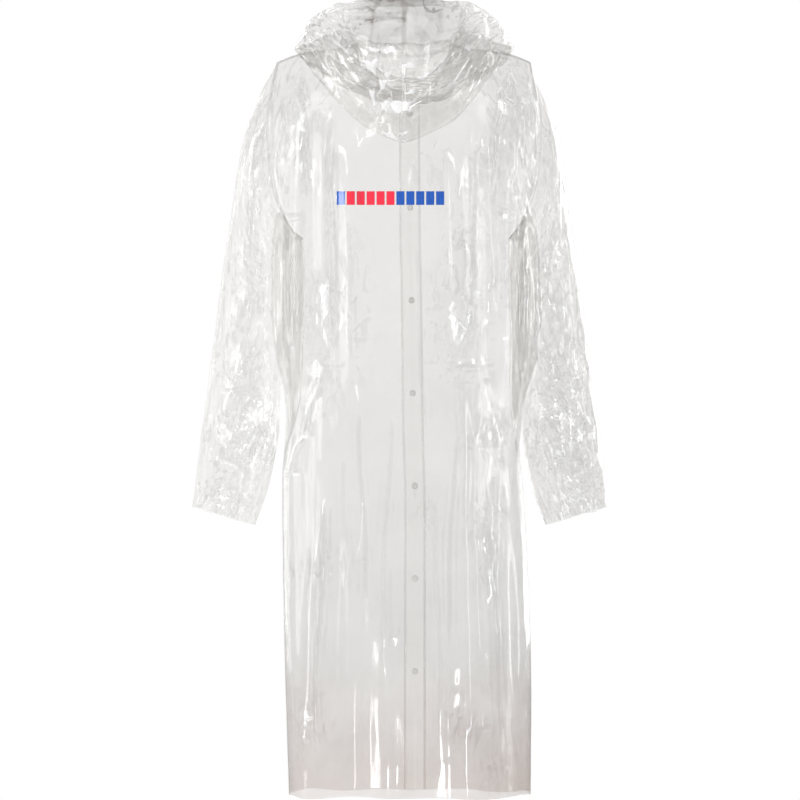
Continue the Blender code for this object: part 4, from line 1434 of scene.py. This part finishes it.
@dataclass(frozen=True)
class FilmFinish:
    """Clear film: how milky it is in flat places, welds and at a glancing angle, and the painted
    glints that whiten it on creases, flakes and crinkle lines.
    """

    name: str
    veil: float = 0.075
    crumple_veil: float = 0.05
    # Painted glint: how strongly creases are whitened, standing in for light caught on them.
    crease_glint_veil: float = 1.1
    weld_veil: float = 0.10
    glance_veil: float = 0.20
    weld_width: float = 0.004
    colour: tuple[float, float, float] = (0.14, 0.14, 0.14)
    # Painted glint: near-white colour given to creases, flakes and crinkle lines.
    crease_glint_colour: tuple[float, float, float] = (0.93, 0.93, 0.94)
    clear: tuple[float, float, float] = (0.982, 0.980, 0.976)
    roughness: float = 0.12
    coat_ior: float = 2.3
    facet_across: float = 85.0  # facets a metre across, and along below
    facet_along: float = 36.0
    facet_height: float = 0.0019
    bend: tuple[float, float] = (0.05, 0.11)  # how far a noise bends the facets' edges
    line_across: float = 42.0  # painted glint lines along the crinkles: cells a metre across, and along below
    line_along: float = 17.0
    # Painted glint: how white the crinkle lines are.
    line_glint_veil: float = 0.0
    flake_glint_veil: float = 0.34  # painted glints: how white the small flat flakes between creases are
    flake_level: float = 0.20  # height of the facets from which they are flakes
    dense_colour: tuple[float, float, float] | None = None  # where the haze is thick
    hem_colour: tuple[float, float, float] | None = None
    hem_reach: float = 0.30
    printed: bool = False
    print_left: float = -0.109
    print_pitch: float = 0.0160
    print_z: float = -0.2321
    print_half: float = 0.0110

    def facets(self, g: Graph, uv: Any, across: float, along: float, shift: float) -> Wire:
        """Height of flat facets with straight creases, as one squared Voronoi less another.

        Args:
            g: The material's graph.
            uv: Where it is read.
            across: Facets a metre across.
            along: Facets a metre along.
            shift: How far apart the two Voronoi patterns are.

        Returns:
            The height, in squared cells.
        """
        scaled = g.node("VectorMath", {"operation": "MULTIPLY"}, n0=uv, n1=(across, along, 1.0))
        squares = []
        for move in (0.0, shift):
            step = (move, move * 0.7, 0.0)
            moved = g.node("VectorMath", {"operation": "ADD"}, n0=scaled.outputs[0], n1=step)
            cells = g.node(
                "TexVoronoi",
                {"voronoi_dimensions": "2D", "feature": "F1"},
                Vector=moved.outputs[0],
                Scale=1.0,
            )
            distance = g.wire(cells.outputs["Distance"])
            squares.append(distance * distance)
        return squares[0] - squares[1]

    def lines(self, g: Graph, uv: Any, stir: Any) -> Wire:
        """Mask of thin crinkle lines that are painted white as glints, as the edges of Voronoi cells
        that a noise has stirred.

        Args:
            g: The material's graph.
            uv: Where it is read.
            stir: The noise's colour.

        Returns:
            1 on a line, to 0 off it.
        """
        far = (0.10, 0.18, 0.0)
        stirred = g.node("VectorMath", {"operation": "MULTIPLY_ADD"}, n0=stir, n1=far, n2=uv)
        scaled = g.node(
            "VectorMath",
            {"operation": "MULTIPLY"},
            n0=stirred.outputs[0],
            n1=(self.line_across, self.line_along, 1.0),
        )
        settings = {"voronoi_dimensions": "2D", "feature": "DISTANCE_TO_EDGE"}
        cells = g.node("TexVoronoi", settings, Vector=scaled.outputs[0], Scale=1.0)
        return g.wire(cells.outputs["Distance"]).below(0.03, 0.035)

    def blocks(self, g: Graph) -> tuple[Wire, Wire]:
        """Masks of the printed row of plain blocks on the back.

        Args:
            g: The material's graph.

        Returns:
            The mask of the red blocks, and that of the blue ones.
        """
        parts = g.node("SeparateXYZ", n0=g.node("TexCoord").outputs["Object"])
        x, y, z = (g.wire(parts.outputs[k]) for k in range(3))
        count = (x - self.print_left) / self.print_pitch
        share = count.maths("FRACT", count)
        solid = share.below(0.86, 0.04) * (1.0 - share.below(0.04, 0.04))
        up = z - self.print_z
        solid = solid * up.maths("ABSOLUTE", up).below(self.print_half, 0.0006)
        solid = solid * y.below(-0.03, 0.001)
        solid = solid * (1.0 - count.below(0.0, 0.01)) * count.below(11.0, 0.01)
        red = solid * count.below(6.0, 0.01) * (1.0 - count.below(1.0, 0.01))
        return red, solid - red

    def tinted(self, g: Graph, share: Wire, colour: Any, tint: Sequence[float]) -> Any:
        """The colour with a share of a tint mixed in, as a socket."""
        settings = {"data_type": "RGBA"}
        return g.node("Mix", settings, n0=share, n6=colour, n7=(*tint, 1.0)).outputs[2]

    def material(self) -> bpy.types.Material:
        """Makes the film's material.

        Returns:
            A mix of a clear shader with a glossy, slightly milky one, whose white creases, flakes
            and crinkle lines are painted glints.
        """
        g = Graph(self.name)
        uv = g.node("TexCoord").outputs["UV"]
        tight, weld, crumple, haze = (
            g.wire(g.node("Attribute", {"attribute_name": name}).outputs["Fac"])
            for name in ("tight", "weld", "crumple", "haze")
        )
        cloud = g.node("TexNoise", {"noise_dimensions": "2D"}, Vector=uv, Scale=9.0, Detail=2.0)
        cloudy = g.wire(cloud.outputs[0])
        add = {"operation": "MULTIPLY_ADD"}
        bent = g.node("VectorMath", add, n0=cloud.outputs[1], n1=(*self.bend, 0.0), n2=uv)
        facets = self.facets(g, bent.outputs[0], self.facet_across, self.facet_along, 13.7)
        band = weld.below(self.weld_width, 0.0012)
        height = facets * (self.facet_height * (crumple * 1.3 + 0.22)) - band * 0.0003
        bump = g.node("Bump", Height=height, Strength=1.0, Distance=1.0).outputs[0]
        glance = g.wire(g.node("LayerWeight", Blend=0.5).outputs["Facing"])
        # Painted glints: creases, then flakes and crinkle lines, get more of the white milky shader,
        # standing in for light caught on them.
        painted_glint = ((tight - 0.06) * self.crease_glint_veil).most(0.0).least(0.40)
        # Painted glints: scattered white flakes on the tops of facets in crumpled spots.
        strewn = ((cloudy - 0.40) * 6.0).most(0.15).least(1.0) * (crumple - 0.12).most(0.0)
        flakes = 1.0 - facets.below(self.flake_level, 0.06)
        painted_glint = painted_glint + flakes * strewn * self.flake_glint_veil
        if self.line_glint_veil:
            # Painted glint lines along the crinkles in the crumpled spots.
            broken = ((cloudy - 0.46) * 9.0).most(0.0).least(1.0) * (crumple - 0.3).most(0.0)
            painted_glint = painted_glint + self.lines(g, uv, cloud.outputs[1]) * broken * self.line_glint_veil
        veil = self.veil * (cloudy * 0.8 + 0.6) + crumple * self.crumple_veil
        veil = veil + glance**4.0 * self.glance_veil
        # The haze map brings in the painted side shade, and the painted glints come on top.
        veil = veil * haze + band * self.weld_veil + painted_glint
        # Share of painted glint white in the colour.
        white = (painted_glint * 3.0).least(1.0)
        colour = self.tinted(g, white, (*self.colour, 1.0), self.crease_glint_colour)
        coat: Any = 1.0
        if self.dense_colour:
            dense = ((haze - 0.9) * 0.6).most(0.0).least(1.0)
            colour = self.tinted(g, dense, colour, self.dense_colour)
            coat = 1.0 - dense * 0.75
        if self.hem_colour:
            up = g.wire(g.node("SeparateXYZ", n0=uv).outputs[1])
            low = up.below(self.hem_reach * 0.5, self.hem_reach) * (1.0 - white)
            colour = self.tinted(g, low, colour, self.hem_colour)
        if self.printed:
            red, blue = self.blocks(g)
            for mask, ink in ((red, RED), (blue, BLUE)):
                colour = self.tinted(g, mask, colour, ink)
            veil = veil + (red + blue) * 0.93
            coat = 1.0 - (red + blue) * 0.75
        body = g.node(
            "BsdfPrincipled",
            Base_Color=colour,
            Roughness=self.roughness + cloudy * 0.14,
            Coat_Weight=coat,
            Coat_Roughness=0.07,
            Coat_IOR=self.coat_ior,
            Normal=bump,
        )
        clear = g.node("BsdfTransparent", Color=(*self.clear, 1.0))
        mixed = g.node("MixShader", n0=veil.least(0.97), n1=clear.outputs[0], n2=body.outputs[0])
        g.node("OutputMaterial", Surface=mixed.outputs[0])
        return g.material


@dataclass(frozen=True)
class SnapFinish:
    """Milky moulded plastic of the snaps."""

    name: str = "snap_plastic"
    colour: tuple[float, float, float] = (0.72, 0.72, 0.71)
    dark: tuple[float, float, float] = (0.48, 0.48, 0.48)
    roughness: float = 0.28

    def material(self) -> bpy.types.Material:
        """Makes the snaps' material.

        Returns:
            The material.
        """
        g = Graph(self.name)
        place = g.node("TexCoord").outputs["Object"]
        noise = g.node("TexNoise", Vector=place, Scale=900.0, Detail=2.0)
        grain = g.wire(noise.outputs[0])
        mix = g.node(
            "Mix",
            {"data_type": "RGBA"},
            n0=grain,
            n6=(*self.dark, 1.0),
            n7=(*self.colour, 1.0),
        )
        bump = g.node("Bump", Height=grain, Strength=0.3, Distance=0.0003).outputs[0]
        body = g.node(
            "BsdfPrincipled",
            Base_Color=mix.outputs[2],
            Roughness=self.roughness + grain * 0.15,
            Normal=bump,
        )
        g.node("OutputMaterial", Surface=body.outputs[0])
        return g.material


# ---------------------------------------------------------------- stage
@dataclass
class Studio:
    """Pale floor, soft lights and the camera."""

    floor_z: float = -1.46
    floor_radius: float = 2.2
    distance: float = 12.0
    pixel: float = 0.00163  # metres to a pixel of the 800 x 800 frame at the coat
    pixels: int = 800
    centre: tuple[float, float] = (-0.0065, -0.5575)
    sensor: float = 36.0

    def floor(self) -> None:
        """Makes the floor."""
        bm = bmesh.new()
        bmesh.ops.create_circle(bm, cap_ends=True, segments=96, radius=self.floor_radius)
        bmesh.ops.translate(bm, verts=bm.verts[:], vec=(0.0, 0.0, self.floor_z))
        mesh = bpy.data.meshes.new("floor")
        bm.to_mesh(mesh)
        bm.free()
        obj = bpy.data.objects.new("floor", mesh)
        bpy.context.scene.collection.objects.link(obj)
        g = Graph("floor_paint")
        body = g.node("BsdfPrincipled", Base_Color=(0.86, 0.86, 0.86, 1.0), Roughness=0.7)
        g.node("OutputMaterial", Surface=body.outputs[0])
        mesh.materials.append(g.material)

    def world(self) -> None:
        """Makes the pale surroundings: bright behind the coat, softer in what the film mirrors."""
        world = bpy.data.worlds.new("surroundings")
        bpy.context.scene.world = world
        world.use_nodes = True
        tree = world.node_tree
        tree.nodes.clear()
        path = tree.nodes.new("ShaderNodeLightPath")
        mix = tree.nodes.new("ShaderNodeMixShader")
        out = tree.nodes.new("ShaderNodeOutputWorld")
        for slot, strength in ((1, 0.50), (2, 1.0)):
            light = tree.nodes.new("ShaderNodeBackground")
            light.inputs["Color"].default_value = (1.0, 1.0, 1.0, 1.0)
            light.inputs["Strength"].default_value = strength
            tree.links.new(light.outputs[0], mix.inputs[slot])
        tree.links.new(path.outputs["Is Camera Ray"], mix.inputs[0])
        tree.links.new(mix.outputs[0], out.inputs["Surface"])

    def light(
        self, name: str, place: Sequence[float], size: tuple[float, float], glow: float
    ) -> None:
        """Adds a soft box that looks at the coat.

        Args:
            name: The light's name.
            place: Where it stands.
            size: Its width and height.
            glow: How bright its face is, where 1 is the white behind the coat.
        """
        data = bpy.data.lights.new(name, "AREA")
        data.shape, data.size, data.size_y = "RECTANGLE", *size
        data.energy = glow * math.pi * size[0] * size[1]
        obj = bpy.data.objects.new(name, data)
        obj.location = place
        obj.visible_camera = False
        aim = Vector((0.0, 0.0, -0.55)) - Vector(place)
        obj.rotation_euler = aim.to_track_quat("-Z", "Y").to_euler()
        bpy.context.scene.collection.objects.link(obj)

    def camera(self) -> None:
        """Adds the camera at the photograph's viewing angle."""
        data = bpy.data.cameras.new("camera")
        width = self.pixel * self.pixels
        data.sensor_width = self.sensor
        data.lens = self.sensor * self.distance / width
        data.clip_end = 100.0
        obj = bpy.data.objects.new("camera", data)
        obj.location = (self.centre[0], -self.distance, self.centre[1])
        obj.rotation_euler = (math.pi / 2, 0.0, 0.0)
        bpy.context.scene.collection.objects.link(obj)
        bpy.context.scene.camera = obj

    def build(self) -> None:
        """Sets up the whole studio."""
        self.floor()
        self.world()
        self.light("key_left", (-4.0, -2.2, 0.6), (2.6, 3.4), 6.2)
        self.light("side_left", (-4.2, 0.8, 0.0), (1.6, 3.0), 4.0)
        self.light("strip_right", (3.8, -2.4, 0.3), (0.7, 2.8), 6.0)
        self.light("side_right", (4.0, 0.6, 0.2), (0.6, 2.6), 6.0)
        self.light("top", (0.0, -2.2, 3.2), (3.2, 1.0), 5.0)
        self.light("glint_left", (-1.6, -5.0, 2.3), (0.6, 0.9), 26.0)
        self.light("glint_right", (1.5, -5.2, -1.6), (0.4, 0.7), 26.0)
        self.light("front_soft", (2.6, 4.6, 0.4), (2.6, 3.0), 5.0)
        self.light("front_glint", (-1.5, 5.2, 1.4), (0.5, 0.8), 22.0)
        self.camera()


# ---------------------------------------------------------------- the coat
class Piece(NamedTuple):
    """What a sheet stands for and was cut to."""

    nodes: tuple[str, ...]
    flat: tuple[float, float]
    area: float
    rests_on: tuple[str, ...]


PIECES = {
    "film_back": Piece(("back",), (0.64, 1.25), 0.71, ("film_front_left", "film_front_right")),
    "film_front_left": Piece(("front_left",), (0.34, 1.22), 0.37, ("film_back",)),
    "film_front_right": Piece(("front_right",), (0.34, 1.22), 0.36, ("film_back",)),
    "film_sleeve_left": Piece(("sleeve_left",), (0.52, 0.72), 0.22, ("film_back",)),
    "film_sleeve_right": Piece(("sleeve_right",), (0.52, 0.72), 0.22, ("film_back",)),
    "film_hood_left": Piece(("hood_left",), (0.44, 0.46), 0.115, ("film_back",)),
    "film_hood_right": Piece(("hood_right",), (0.44, 0.46), 0.115, ("film_back",)),
}


@dataclass
class Coat:
    """The whole coat."""

    body: Body = field(default_factory=Body)
    hood: Hood = field(default_factory=Hood)

    def build(self) -> None:
        """Builds and dresses every piece."""
        sheets = self.body.sheets()
        tree = search_tree(sheets)
        for half, front in zip(Half, sheets[1:3]):
            sheets.append(Sleeve(half).sheet(sheets[0], front, tree))
        sheets += self.hood.sheets(tree)
        self.dress(sheets)

    def dress(self, sheets: Sequence[Sheet]) -> None:
        """Makes the sheets' objects and gives them, and the snaps, their finishes.

        Args:
            sheets: The sheets of film.
        """
        plain = FilmFinish("film_clear", hem_colour=WARM).material()
        printed = FilmFinish("film_clear_printed", hem_colour=WARM, printed=True).material()
        packed = FilmFinish(
            "film_crumpled",
            veil=0.07,
            colour=(0.22, 0.22, 0.22),
            facet_across=75.0,
            facet_along=55.0,
            facet_height=0.0016,
            line_across=50.0,
            line_along=38.0,
            line_glint_veil=0.30,
            glance_veil=0.14,
            bend=(0.05, 0.09),
        ).material()
        heaped = FilmFinish(
            "film_hood",
            veil=0.052,
            colour=(0.42, 0.42, 0.41),
            crumple_veil=0.03,
            glance_veil=0.07,
            facet_across=62.0,
            facet_along=58.0,
            facet_height=0.0021,
            flake_glint_veil=0.34,
            bend=(0.09, 0.07),
            weld_veil=0.06,
            dense_colour=(0.22, 0.205, 0.19),
        ).material()
        for sheet in sheets:
            obj = sheet.build()
            piece = PIECES[sheet.name]
            kinds = {"back": printed, "front": plain, "sleeve": packed, "hood": heaped}
            finish = kinds[sheet.name.split("_")[1]]
            obj.data.materials.append(finish)
            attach(obj, "root")
            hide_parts(*piece.nodes)
            LOG.info("%s: %d points", sheet.name, len(obj.data.vertices))
        plastic = SnapFinish().material()
        for name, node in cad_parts.items():
            if name.startswith("snap_"):
                node.data.materials.clear()
                node.data.materials.append(plastic)
                LOG.info("%s: refinished", name)


def main() -> None:
    """Builds the coat and its studio."""
    logging.basicConfig(level=logging.INFO, format="%(name)s %(message)s")
    scene = bpy.context.scene
    scene.view_settings.view_transform = "Standard"
    scene.cycles.transparent_max_bounces = 28
    scene.cycles.max_bounces = 3
    scene.cycles.diffuse_bounces = 1
    scene.cycles.glossy_bounces = 1
    scene.cycles.adaptive_threshold = 0.08
    Coat().build()
    Studio().build()


if __name__ == "__main__":
    main()
